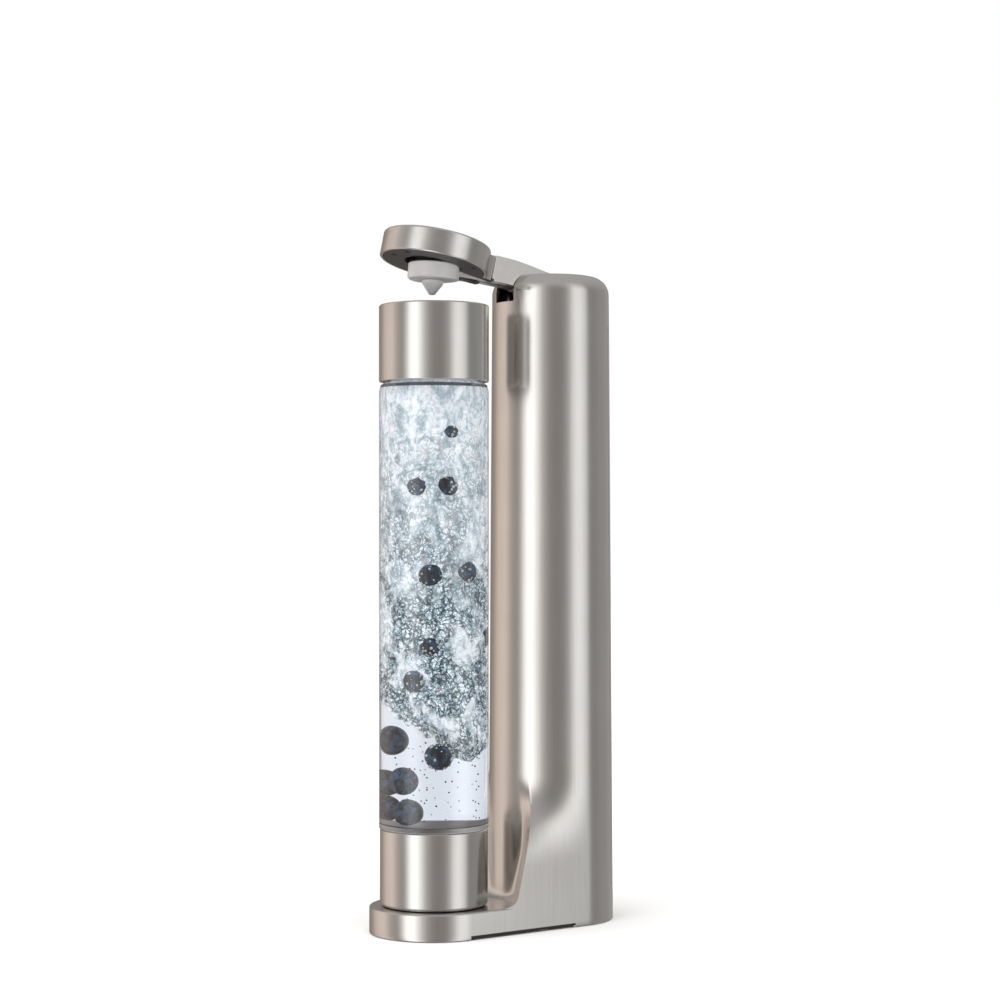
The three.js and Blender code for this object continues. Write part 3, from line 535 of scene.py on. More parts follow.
def turned(name, profile, centre, turns=160, crease=35):
    """A closed turned piece. A profile that starts and ends on the axis is closed there by
    fans of triangles; any other profile is a ring that closes on itself."""
    if profile[0][0] == 0 and profile[-1][0] == 0:
        rings = skin_of_turning(profile[1:-1], centre, turns)
        ends = [[*centre, profile[0][1]], [*centre, profile[-1][1]]]
        points, faces = closed_by_poles(rings, ends)
    else:
        points = skin_of_turning(profile, centre, turns)
        n = len(profile)
        i = np.arange(turns)
        k = (i + 1) % turns
        last = (n - 1) * turns
        faces = grid_faces(n, turns).tolist()
        faces += np.stack([last + i, last + k, k, i], 1).tolist()
    return face_out(mesh_piece(name, points, faces, crease))


def face_out(piece):
    """Turns every face of a closed piece outwards."""
    work = bmesh.new()
    work.from_mesh(piece.data)
    bmesh.ops.recalc_face_normals(work, faces=work.faces)
    work.to_mesh(piece.data)
    work.free()
    return piece


def joined(name, pieces):
    """Several pieces put together as one object of that name."""
    whole = bmesh.new()
    for piece in pieces:
        whole.from_mesh(piece.data)
    mesh = bpy.data.meshes.new(name)
    whole.to_mesh(mesh)
    whole.free()
    for piece in pieces:
        bpy.data.objects.remove(piece)
    mesh.set_sharp_from_angle(angle=math.radians(35))
    result = bpy.data.objects.new(name, mesh)
    bpy.context.collection.objects.link(result)
    return result


def fitted(piece, paint, slot, body, *nodes):
    """Gives a piece its finish and its body, and hides the CAD nodes it stands for."""
    piece.data.materials.clear()
    piece.data.materials.append(paint)
    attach(piece, body)
    if nodes:
        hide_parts(*nodes)
    return piece


CAD_GAP = 0.0003


def post(name, x, y, outer, hole, low, high, deep):
    """A round post with a blind hole from below, deep metres deep."""
    profile = [(hole, low + deep), (hole, low), (outer, low), (outer, high), (0, high)]
    return turned(name, [(0, low + deep)] + eased(profile, 0.0003, 2), (x, y), 32)


plate_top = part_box("base_plate")[1].z
chassis_deck = 0.3894
screw_hole_r = 0.0017
posts = []
for x, y, r in ((0.027, -0.062, 0.0045), (0.035, 0.014, 0.0046)):
    for side in (-1, 1):
        top = 0.0170 if y < 0 else 0.0155
        posts.append(post("p", side * x, y, r, screw_hole_r, plate_top + CAD_GAP, top, 0.0070))
for y in (0.030, 0.062):
    for side in (-1, 1):
        low = chassis_deck + CAD_GAP
        posts.append(post("p", side * 0.024, y, 0.0036, screw_hole_r, low, 0.4230, 0.0120))
fitted(joined("screw_posts", posts), upright_steel, "stainless", "housing")


# ---- Base plate ----
# The black glass-filled nylon plate that closes the base and carries the feet. It is
# moulded with a fine spark-eroded grain and its outer corners are softened.
def moulded(name, colour, rough, grain=0.10, sheen=0.5):
    """Moulded plastic: a slight drift in colour and gloss, with a fine pebbled skin."""
    paint, tree, shader, where = new_paint(name)
    drift = cloudy(tree, where, 45.0, 4.0)
    pebble = add(tree, "TexVoronoi", {}, feature="SMOOTH_F1")
    feed(tree, pebble, {"Vector": where, "Scale": 2800.0})
    shades = [(0.32, [c * 0.88 for c in colour]), (0.68, [min(c * 1.06, 1) for c in colour])]
    feed(tree, shader, {
        "Specular IOR Level": sheen, "Base Color": graded(tree, drift, shades),
        "Roughness": spread(tree, drift, rough - 0.05, rough + 0.08),
        "Normal": relief(tree, pebble.outputs["Distance"], grain, 0.00004)})
    return paint


def fair_copy(node, name, edge=0.0, segments=2, crease=35):
    """The CAD mesh with its loose corners joined, smooth below the crease angle, and
    with its edges rounded where edge is given."""
    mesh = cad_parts[node].data.copy()
    join = bmesh.new()
    join.from_mesh(mesh)
    bmesh.ops.remove_doubles(join, verts=join.verts, dist=1e-6)
    bmesh.ops.dissolve_limit(
        join, angle_limit=math.radians(0.3), verts=join.verts, edges=join.edges)
    join.to_mesh(mesh)
    join.free()
    for layer in list(mesh.attributes):
        if layer.name == "custom_normal":
            mesh.attributes.remove(layer)
    mesh.shade_smooth()
    mesh.set_sharp_from_angle(angle=math.radians(crease))
    piece = bpy.data.objects.new(name, mesh)
    bpy.context.collection.objects.link(piece)
    if edge:
        bevel = piece.modifiers.new("rounding", "BEVEL")
        bevel.width = edge
        bevel.segments = segments
        bevel.limit_method = "ANGLE"
        bevel.angle_limit = math.radians(40)
    return piece


def as_drawn(node, name, paint, slot, body, edge=0.0, **more):
    """A CAD piece shown in its own shape: its fair copy with its finish and body.
    slot is not used.
    """
    return fitted(fair_copy(node, name, edge, **more), paint, slot, body, node)


black_nylon = moulded("black_nylon", (0.022, 0.022, 0.024), 0.48, 0.35)
as_drawn("base_plate", "plate_under_base", black_nylon, "black_plastic", "housing", 0.0004)


# ---- Feet ----
# Four soft rubber pads pressed into the plate. Each is a moulded disc with a softened rim.
def rubbery(name, colour, rough):
    """Rubber: nearly matt, with a dusty bloom in broad patches and a fine grain."""
    paint, tree, shader, where = new_paint(name)
    dust = cloudy(tree, where, 160.0, 7.0)
    shades = [(0.4, colour), (0.75, [c * 1.5 + 0.01 for c in colour])]
    feed(tree, shader, {
        "Roughness": rough, "Specular IOR Level": 0.3,
        "Base Color": graded(tree, dust, shades),
        "Normal": relief(tree, dust, 0.3, 0.00005)})
    return paint


foot_rubber = rubbery("foot_rubber", (0.03, 0.03, 0.032), 0.75)
for number in (1, 2, 3, 4):
    node = f"foot_{number}"
    as_drawn(node, f"rubber_{node}", foot_rubber, "rubber", "housing", 0.0003)


# ---- Fixings ----
# Zinc-plated steel screws and the ground steel pin that the lever and the nozzle arm
# turn on. The screws come up through the plate, the chassis and the lever's underplate.
def plated(name, tint, rough, scratch):
    """Plated or ground steel: bright metal with mottled plating and tiny scratches."""
    paint, tree, shader, where = new_paint(name)
    mottle = cloudy(tree, where, 420.0, 5.0)
    lines = cloudy(tree, stretched(tree, where, (300, 300, 5000)), 1.0, 4.0)
    shades = [(0.35, [c * 0.82 for c in tint]), (0.65, tint)]
    feed(tree, shader, {
        "Metallic": 1.0, "Base Color": graded(tree, mottle, shades),
        "Roughness": spread(tree, lines, rough - 0.06, rough + 0.1),
        "Normal": relief(tree, lines, scratch, 0.00002)})
    return paint


zinc = plated("zinc_plate", (0.62, 0.62, 0.60), 0.32, 0.3)
SCREW_EDGE = 0.00015
for group in ("base_screw", "chassis_screw"):
    for number in (1, 2, 3, 4):
        node = f"{group}_{number}"
        as_drawn(node, f"steel_{node}", zinc, "hardware_steel", "housing", SCREW_EDGE)
black_oxide = plated("black_oxide", (0.07, 0.068, 0.066), 0.4, 0.3)
for number in range(1, 7):
    node = f"lever_screw_{number}"
    as_drawn(node, f"black_{node}", black_oxide, "hardware_steel", "lever", SCREW_EDGE)
ground_steel = plated("ground_steel", (0.66, 0.65, 0.63), 0.2, 0.15)
as_drawn("pivot_pin", "hinge_pin", ground_steel, "hardware_steel", "housing", 0.0002)


# ---- Chassis ----
# The black nylon bracket under the roof of the tower. Its cheeks hold the hinge pin and
# its deck carries the valve block.
as_drawn("chassis", "nylon_chassis", black_nylon, "black_plastic", "housing", 0.0003)


# ---- Gas valve ----
# A machined brass block with its outlet fitting and blow-off valve, a rubber seal for
# the cylinder, and the steel plunger with its O-ring that the lever pushes down.
brass = plated("machined_brass", (0.72, 0.52, 0.24), 0.28, 0.4)
seal_rubber = rubbery("seal_rubber", (0.02, 0.02, 0.021), 0.6)
for node, name in (
    ("valve_block", "brass_valve_block"), ("outlet_fitting", "brass_outlet"),
    ("relief_valve", "brass_blow_off_valve"),
):
    as_drawn(node, name, brass, "brass", "housing", 0.00025)
as_drawn("valve_seal", "cylinder_seal", seal_rubber, "rubber", "housing")
as_drawn("valve_plunger", "steel_plunger", ground_steel, "hardware_steel", "plunger", 0.0002)
as_drawn("plunger_o_ring", "plunger_ring", seal_rubber, "rubber", "plunger", crease=80)


# ---- Gas hose ----
# Black braided rubber hose, crimped from the valve block round to the lever's hub, where
# it feeds the nozzle arm.
def braided(name):
    """Rubber with a crossing weave of raised threads and a little sheen."""
    paint, tree, shader, where = new_paint(name)
    weave = add(tree, "TexChecker", {
        "Vector": where, "Scale": 1500.0, "Color1": (0.018, 0.018, 0.020, 1),
        "Color2": (0.045, 0.045, 0.048, 1)})
    feed(tree, shader, {
        "Base Color": weave.outputs["Color"], "Roughness": 0.55,
        "Normal": relief(tree, weave.outputs["Fac"], 0.4, 0.00008)})
    return paint


braid = braided("braided_rubber")
as_drawn("gas_hose", "braided_hose", braid, "hose_rubber", "housing", crease=60)


# ---- Springs ----
# Three coiled spring-steel wires: one lifts the lever, one lifts the plunger and one
# holds the cap's check valve shut. Each is drawn at the length of its CAD node.
def coil_wire(name, centre, radius, wire, low, rise, turns, per_turn=28, sides=10):
    """A helix of round wire with its ends closed: the line is (r cos a, r sin a,
    low + rise a / 2 pi n), and the wire a circle across it."""
    count = int(turns * per_turn) + 1
    a = np.linspace(0, 2 * np.pi * turns, count)
    line = np.stack([radius * np.cos(a), radius * np.sin(a), rise * a / a[-1]], 1)
    out = np.stack([np.cos(a), np.sin(a), 0 * a], 1)
    along = np.gradient(line, axis=0)
    along /= np.linalg.norm(along, axis=1)[:, None]
    up = np.cross(out, along)
    b = np.linspace(0, 2 * np.pi, sides, endpoint=False)
    ring = out[:, None] * np.cos(b)[None, :, None] + up[:, None] * np.sin(b)[None, :, None]
    points = (line[:, None] + wire * ring).reshape(-1, 3) + [*centre, low]
    faces = grid_faces(count, sides).tolist()
    last = (count - 1) * sides
    faces += [list(range(sides))[::-1], [last + i for i in range(sides)]]
    return face_out(mesh_piece(name, points, faces, 50))


def upright_axis(node):
    """Where the upright axis of a round CAD piece stands: the middle of its box."""
    low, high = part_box(node)
    return (low.x + high.x) / 2, (low.y + high.y) / 2


spring_steel = plated("spring_steel", (0.55, 0.54, 0.52), 0.26, 0.2)
for node, body, joint, slack, radius, wire, turns in (
    ("return_spring", "housing", "lever_press", 0.0085, 0.0040, 0.0006, 5),
    ("plunger_spring", "housing", "plunger_push", 0.0012, 0.0052, 0.0005, 3.5),
    ("poppet_spring", "cap", "poppet_press", 0.0030, 0.0036, 0.00045, 3.5),
):
    low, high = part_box(node)
    centre = upright_axis(node)
    rise = high.z - low.z - 2 * wire
    spring = coil_wire(node + "_wire", centre, radius, wire, low.z + wire, rise, turns)
    fitted(spring, spring_steel, "hardware_steel", body, node)
    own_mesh(spring)


# ---- Gas cylinder ----
# A spun aluminium cylinder with a domed shoulder, a brass valve screwed into its neck,
# a steel pin in the valve and a rubber washer round it. It screws up into the block.
silver = plated("spun_aluminium", (0.74, 0.75, 0.76), 0.34, 0.5)
low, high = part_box("gas_cylinder")
middle = upright_axis("gas_cylinder")
body_r = (high.x - low.x) / 2
foot_z = low.z
flask = [
    (0, foot_z + 0.0025), (0.022, foot_z), (body_r - 0.004, foot_z), (body_r, foot_z + 0.004),
    (body_r, 0.292), (body_r - 0.0025, 0.305), (body_r - 0.009, 0.317), (0.014, 0.327),
    (0.014, high.z), (0.008, high.z), (0.008, high.z - 0.010), (0, high.z - 0.010),
]
bottle_of_gas = turned("aluminium_cylinder", eased(flask, 0.003), middle, 128)
fitted(bottle_of_gas, silver, "cylinder_aluminium", "tank", "gas_cylinder")
as_drawn("cylinder_valve", "brass_cylinder_valve", brass, "brass", "tank")
as_drawn("valve_pin", "steel_valve_pin", ground_steel, "hardware_steel", "pin")
as_drawn("neck_washer", "rubber_neck_washer", seal_rubber, "rubber", "tank_seal", 0.0002)


# ---- Rear cover ----
# A curved door of the same stainless sheet as the tower, flush with it. It pulls straight
# back on two inner ribs and has a finger notch cut in its lower edge.
def door_skin(half, low, high, inset, rows=30, cols=72):
    """Points of the tower's rear between two heights: radius falls in a straight line with
    height, x = r cos a, y = axis + r sin a, for a from 90 - half to 90 + half degrees."""
    a = np.radians(np.linspace(90 - half, 90 + half, cols))
    z = np.linspace(low, high, rows)[:, None]
    r = tower_radius(z) - inset
    return np.stack([r * np.cos(a), AXIS + r * np.sin(a), z + 0 * a], -1)


cover_low, cover_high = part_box("rear_cover")
DOOR_GAP = 0.00035
half = DOOR_HALF - math.degrees(DOOR_GAP / BASE_R)
front_skin = door_skin(half, cover_low.z, cover_high.z, 0.0)
back_skin = door_skin(half, cover_low.z, cover_high.z, WALL)
rows, cols = front_skin.shape[:2]
count = rows * cols
faces = grid_faces(rows, cols, False).tolist()
faces += grid_faces(rows, cols, False, count)[:, ::-1].tolist()
rim = [i for i in range(cols)] + [j * cols + cols - 1 for j in range(1, rows)]
rim += [(rows - 1) * cols + i for i in range(cols - 2, -1, -1)]
rim += [j * cols for j in range(rows - 2, 0, -1)]
faces += [[a, a + count, b + count, b] for a, b in zip(rim, rim[1:] + rim[:1])]
door_points = np.concatenate([front_skin.reshape(-1, 3), back_skin.reshape(-1, 3)])
door = face_out(mesh_piece("rear_door", door_points, faces))
ribs = [box_prism((s * 0.014 - 0.0008, s * 0.014 + 0.0008), (0.0806, 0.0835), (0.060, 0.330))
        for s in (-1, 1)]
cut_from(door, ribs, "UNION")
a = np.radians(np.linspace(0, 360, 48, endpoint=False))
grip = np.stack([0.009 * np.cos(a), cover_low.z + 0.009 * np.sin(a)], 1)
cut_from(door, [prism(grip, 0.077, 0.097, (0, 2, 1))])
fitted(door, upright_steel, "stainless", "cover", "rear_cover")


# ---- Press lever ----
# A die-cast lever, satin plated to match the steel: a round hollow head with a rolled top
# edge, and a hollow neck that runs back into the tower to the hinge pin.
PIVOT = Vector((0, 0.052, 0.4194))
LEVER_UP = math.radians(12.6)
ARM_UP = math.radians(5)


def raised(piece, angle):
    """Moves a piece drawn level about the hinge to its place, turned up by the angle."""
    turn = np.array([
        [1, 0, 0],
        [0, math.cos(angle), math.sin(angle)],
        [0, -math.sin(angle), math.cos(angle)],
    ])
    mesh = piece.data
    flat = np.empty(len(mesh.vertices) * 3, np.float32)
    mesh.vertices.foreach_get("co", flat)
    moved = flat.reshape(-1, 3) @ turn.T + np.array(PIVOT)
    mesh.vertices.foreach_set("co", moved.astype(np.float32).ravel())
    mesh.update()
    return piece


def bow(cx, cy, r, start, end, steps):
    """Points of an arc, angles in degrees."""
    a = np.radians(np.linspace(start, end, steps + 1))
    return [(cx + r * math.cos(t), cy + r * math.sin(t)) for t in a]


def rod_prism(r, low, high, x, y, steps=40):
    """An upright rod as a prism."""
    return prism(bow(x, y, r, 0, 360 - 360 / steps, steps - 1), low, high)


HEAD_Y, HEAD_R, HEAD_LOW, HEAD_TOP = -0.099, 0.035, -0.0132, 0.0028
side_view = bow(0, 0, 0.006, -80, 75, 20) + [
    (-0.0169, 0.0056), (-0.0292, 0.0060), (-0.0421, 0.0060), (-0.0561, 0.0049),
    (-0.066, HEAD_TOP), (-0.074, HEAD_TOP), (-0.074, HEAD_LOW), (-0.062, HEAD_LOW),
    (-0.056, -0.0122), (-0.044, -0.0109), (-0.020, -0.0106), (-0.009, -0.0102),
    (-0.002, -0.0102),
]
neck_half, lane, flare = 0.009, 0.0071, 0.007
flare_x = neck_half + 0.0026 + flare
flare_y = HEAD_Y + math.sqrt((HEAD_R + flare) ** 2 - flare_x**2)
to_head = math.degrees(math.atan2(HEAD_Y - flare_y, -flare_x))
flare_line = [(0, flare_y + 0.003), (neck_half, flare_y + 0.003)]
flare_line += bow(flare_x, flare_y, flare, 180, 360 + to_head, 24) + [(0, HEAD_Y + 0.020)]
HEAD_ROLL, HEAD_SKIN, HINGE_BORE = 0.0016, 0.002, 0.00206
roll_r, roll_z = HEAD_R - HEAD_ROLL, HEAD_TOP - HEAD_ROLL
rolled_edge = [(HEAD_R, roll_z)]
rolled_edge += [(roll_r + HEAD_ROLL * math.cos(t), roll_z + HEAD_ROLL * math.sin(t))
                for t in np.radians([15, 30, 45, 60, 75, 90])]
disc = [(0, HEAD_LOW), (HEAD_R - 0.0004, HEAD_LOW), (HEAD_R, HEAD_LOW + 0.0004)]
disc += rolled_edge + [(HEAD_R - 0.004, HEAD_TOP), (0, HEAD_TOP)]
head = turned("lever_casting", disc, (0, HEAD_Y), 192)
cut_from(head, [prism(side_view, -neck_half, neck_half, (1, 2, 0))], "UNION")
for side in (-1, 1):
    wing = [(side * x, y) for x, y in flare_line]
    cut_from(head, [prism(wing, HEAD_LOW, HEAD_TOP)], "UNION")
inner_r = HEAD_R - HEAD_SKIN
channel = [
    (0.008, -0.008), (0.008, 0.008), (-0.007, 0.008), (-0.009, 0.0034), (-0.058, 0.0032),
    (-0.066, HEAD_TOP - HEAD_SKIN), (-0.076, HEAD_TOP - HEAD_SKIN), (-0.076, -0.016),
    (-0.0295, -0.016), (-0.0295, -0.0084),
]
cut_from(head, [rod_prism(inner_r, HEAD_LOW - 0.002, HEAD_TOP - HEAD_SKIN, 0, HEAD_Y, 128)])
cut_from(head, [prism(channel, -lane, lane, (1, 2, 0))])
cut_from(head, [box_prism((-lane, lane), (-0.0205, -0.0095), (-0.016, -0.008))])
tongue_room = box_prism((-0.011, 0.011), (-0.077, -0.0575), (HEAD_LOW - 0.002, -0.0111))
cut_from(head, [tongue_room])
flare_room = box_prism((-0.011, 0.011), (-0.076, -0.0640), (HEAD_LOW, HEAD_TOP - 0.0034))
cut_from(head, [flare_room])
cut_from(head, [prism(bow(0, 0, HINGE_BORE, 0, 345, 23), -0.020, 0.020, (1, 2, 0))])
for x, y in ((0.008, -0.1249), (0.0233, -0.0839), (0.0085, -0.0614)):
    stand = HEAD_LOW + 0.0018 + CAD_GAP
    cut_from(head, [rod_prism(0.0027, stand, HEAD_TOP - 0.0015, s * x, y, 24)
                    for s in (-1, 1)], "UNION")
    cut_from(head, [rod_prism(0.00106, HEAD_LOW, -0.002, s * x, y, 16) for s in (-1, 1)])
raised(head, LEVER_UP)
even = head.modifiers.new("even_shading", "WEIGHTED_NORMAL")
even.keep_sharp = True
even.weight = 80
lever_steel = satin_steel("lever_steel", steel_tint, (900, 900, 900), 0.22, 0.2)
fitted(head, lever_steel, "stainless", "lever", "press_lever")


# ---- Underplate of the lever ----
# A dark grey moulded plate screwed up into the head. A round opening in it lets the
# nozzle boss hang through.
dark_abs = moulded("dark_abs", (0.030, 0.029, 0.028), 0.36, 0.2)
as_drawn("lever_underplate", "head_underplate", dark_abs, "dark_plastic", "lever", 0.0003)


# ---- Nozzle arm ----
# A white acetal arm with a round boss, and a white nozzle with a small rubber seal pressed
# into the boss. It hangs from the same hinge pin and follows the lever down.
white_acetal = moulded("white_acetal", (0.80, 0.79, 0.80), 0.30, 0.08)
as_drawn("nozzle_arm", "white_nozzle_arm", white_acetal, "white_plastic", "arm", 0.0005,
         segments=3)
tip_top = -0.0098
NOZZLE_LOW = -0.0191
tip_line = [
    (0.0010, NOZZLE_LOW), (0.0019, NOZZLE_LOW), (0.0068, tip_top - 0.0023),
    (0.0068, tip_top - 0.0003), (0.0049, tip_top - 0.0003), (0.0049, tip_top + 0.0031),
    (0.0010, tip_top + 0.0031),
]
tip = turned("white_nozzle", eased(tip_line, 0.0004), (0, -0.0994), 64)
fitted(raised(tip, ARM_UP), white_acetal, "white_plastic", "arm", "nozzle_tip")
as_drawn("nozzle_seal", "nozzle_ring", seal_rubber, "rubber", "arm", 0.0002)


# ---- Base cup ----
# A drawn stainless cup, satin polished, that the foot of the bottle is pressed into.
low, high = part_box("base_cup")
spot = upright_axis("base_cup")
r = 0.0347
cup_line = [
    (0, low.z), (r - 0.0016, low.z), (r, low.z + 0.0016), (r, high.z - 0.0003),
    (r - 0.0003, high.z), (r - 0.0023, high.z), (r - 0.0023, low.z + 0.0024),
    (0, low.z + 0.0024),
]
cup = turned("bottle_cup", eased(cup_line, 0.0006), spot, 192)
fitted(cup, upright_steel, "stainless", "bottle", "base_cup")


# ---- Bottle ----
# Clear blow-moulded copolyester: a thick straight wall, a rounded shoulder and a neck
# with a raised screw thread. Its foot is a press fit in the cup.
def clear_shell(name, tint, ior, rough, edge):
    """A clear stuff that lets light straight through its shadow, with a faint drift in
    polish over its face. edge is how light its tint stays where it is seen edge on:
    the darkening towards its outline is a painted shade."""
    paint, tree, shader, where = new_paint(name)
    smear = cloudy(tree, where, 30.0, 3.0)
    tone = graded(tree, smear, [(0, tint), (1, [min(c * 1.03, 1) for c in tint])])
    # Seen edge on, towards the outline, the tint is darkened: a painted shade.
    edge_on = tree.nodes.new("ShaderNodeLayerWeight").outputs["Facing"]
    rim = graded(tree, edge_on, [(0.72, (1, 1, 1)), (0.97, (edge, edge, edge))])
    deep = add(tree, "VectorMath", {0: tone, 1: rim}, operation="MULTIPLY")
    feed(tree, shader, {
        "Transmission Weight": 1.0, "IOR": ior, "Specular IOR Level": 0.35,
        "Roughness": spread(tree, smear, 0.0, rough, 0.4, 0.7),
        "Base Color": deep.outputs[0]})
    path = tree.nodes.new("ShaderNodeLightPath")
    open_way = tree.nodes.new("ShaderNodeBsdfTransparent")
    mix = add(tree, "MixShader", {
        0: path.outputs["Is Shadow Ray"], 1: shader.outputs[0], 2: open_way.outputs[0]})
    feed(tree, tree.nodes["Material Output"], {"Surface": mix.outputs[0]})
    return paint


r, wall, neck_r, bore, mouth = 0.0352, 0.0024, 0.027, 0.0234, 0.374
foot_top, shoulder = 0.0668, 0.3526
floor_z = foot_top + 0.0027
inner = r - wall
outside_line = [
    (0, foot_top - 0.007), (0.0320, foot_top - 0.007), (0.0320, foot_top), (r - 0.0005, foot_top),
    (r, foot_top + 0.0005), (r, shoulder - 0.006), (r - 0.001, shoulder - 0.0018),
    (r - 0.004, shoulder), (neck_r, shoulder), (neck_r, mouth), (bore, mouth),
]
inside_line = [
    (bore, shoulder - 0.001), (inner - 0.0015, shoulder - 0.004), (inner, shoulder - 0.008),
    (inner, foot_top + 0.007), (inner - 0.002, foot_top + 0.0038),
    (inner - 0.006, floor_z), (0, floor_z),
]
flask_wall = turned("clear_bottle", eased(outside_line + inside_line, 0.0004), spot, 160, 40)
thread = coil_wire("thread", spot, neck_r, 0.0011, 0.3585, 0.00625, 1.25, 96, 12)
bottle = joined("clear_bottle_and_thread", [flask_wall, thread])
copolyester = clear_shell("clear_copolyester", (0.955, 0.975, 0.98), 1.47, 0.05, 0.25)
fitted(bottle, copolyester, "clear_plastic", "bottle", "bottle_body")
foot_bond = satin_steel("foot_in_cup", (0.40, 0.40, 0.41), (900, 900, 900), 0.30, 0.2)
bottle.data.materials.append(foot_bond)
heights = np.empty(len(bottle.data.vertices) * 3)
bottle.data.vertices.foreach_get("co", heights)
heights = heights.reshape(-1, 3)[:, 2]
for face in bottle.data.polygons:
    middle_z = sum(heights[i] for i in face.vertices) / len(face.vertices)
    if middle_z < foot_top - 0.0001 or abs(middle_z - floor_z) < 0.0006:
        face.material_index = 1
bottle.visible_glossy = False


# ---- Water ----
# What the bottle holds: still water up into the neck. It is not a part of the machine.
def swollen(profile, grow):
    """A profile of (radius, height) pairs with each radius off the axis grown a little."""
    return [(q + grow if q else 0, h) for q, h in profile]


FILM = 0.00004
WATER_TOP = 0.362
water_line = eased(inside_line, 0.0004)[::-1]
water_line = swollen(water_line, FILM)[:-1] + [(bore + FILM, WATER_TOP), (0, WATER_TOP)]
water_line[0] = (0, floor_z - FILM)
water = turned("water", water_line, spot, 128, 50)
still_water = clear_shell("still_water", (0.81, 0.84, 0.93), 1.33, 0.01, 0.8)
fitted(water, still_water, "clear_plastic", "bottle")
water.visible_glossy = False


# ---- Fizz ----
# A column of froth where the gas has just gone in: a lumpy cloud of bubbles, tight and
# pale near the neck and coarse towards its ragged lower end.
def lattice_noise(points, size, seed):
    """Smooth noise from -1 to 1: random values on a cubic lattice of that size, blended
    between the eight corners round each point by the curve 3 t^2 - 2 t^3."""
    rng = np.random.default_rng(seed)
    table = rng.uniform(-1, 1, (32, 32, 32))
    p = points / size
    base = np.floor(p).astype(int)
    t = p - base
    t = t * t * (3 - 2 * t)
    total = 0
    for dx in (0, 1):
        for dy in (0, 1):
            for dz in (0, 1):
                pick = table[(base[..., 0] + dx) % 32, (base[..., 1] + dy) % 32,
                             (base[..., 2] + dz) % 32]
                wx = t[..., 0] if dx else 1 - t[..., 0]
                wy = t[..., 1] if dy else 1 - t[..., 1]
                wz = t[..., 2] if dz else 1 - t[..., 2]
                total = total + pick * wx * wy * wz
    return total


def fizz_cloud(rows=400, cols=240):
    """A closed column about the bottle's axis. At angle a and share t of its height the
    radius is R (1 - (1 - t/0.06)^3) near its foot, times one plus three sizes of noise."""
    t = np.linspace(0, 1, rows)[1:-1, None]
    a = np.linspace(0, 2 * np.pi, cols, endpoint=False)[None, :]
    low = 0.128 - 0.014 * np.cos(a - math.radians(54))
    high = 0.3512
    z = low + (high - low) * t ** 1.05
    foot = np.clip(t / 0.05, 0, 1)
    top = np.clip((1 - t) / 0.012, 0, 1)
    r = 0.0276 * (1 - (1 - foot) ** 2.2) ** 0.6 * (1 - (1 - top) ** 2) ** 0.5
    p = np.stack([r * np.cos(a), r * np.sin(a), z + 0 * a], -1)
    coarse = smooth_step(0.36 - z, 0.03, 0.20) * 0.75 + 0.25
    ragged = (1 - foot) * 0.011
    ripple = 0.0014 * coarse * lattice_noise(p, 0.0075, 1)
    ripple = ripple + 0.0011 * coarse * (1 - 2 * np.abs(lattice_noise(p, 0.0042, 2)))
    ripple = ripple + 0.0007 * coarse * (1 - 2 * np.abs(lattice_noise(p, 0.0019, 3)))
    r = np.minimum(np.maximum(r + ripple * (r / 0.0272), 0.0003), 0.0300)
    z = z + ragged * (lattice_noise(p, 0.009, 4) + 0.6 * lattice_noise(p, 0.004, 6))
    points = np.stack([spot[0] + r * np.cos(a), spot[1] + r * np.sin(a), z + 0 * a], -1)
    ends = [[*spot, float(np.mean(points[0, :, 2]))], [*spot, float(np.mean(points[-1, :, 2]))]]
    return face_out(mesh_piece("fizz", *closed_by_poles(points, ends), 180))


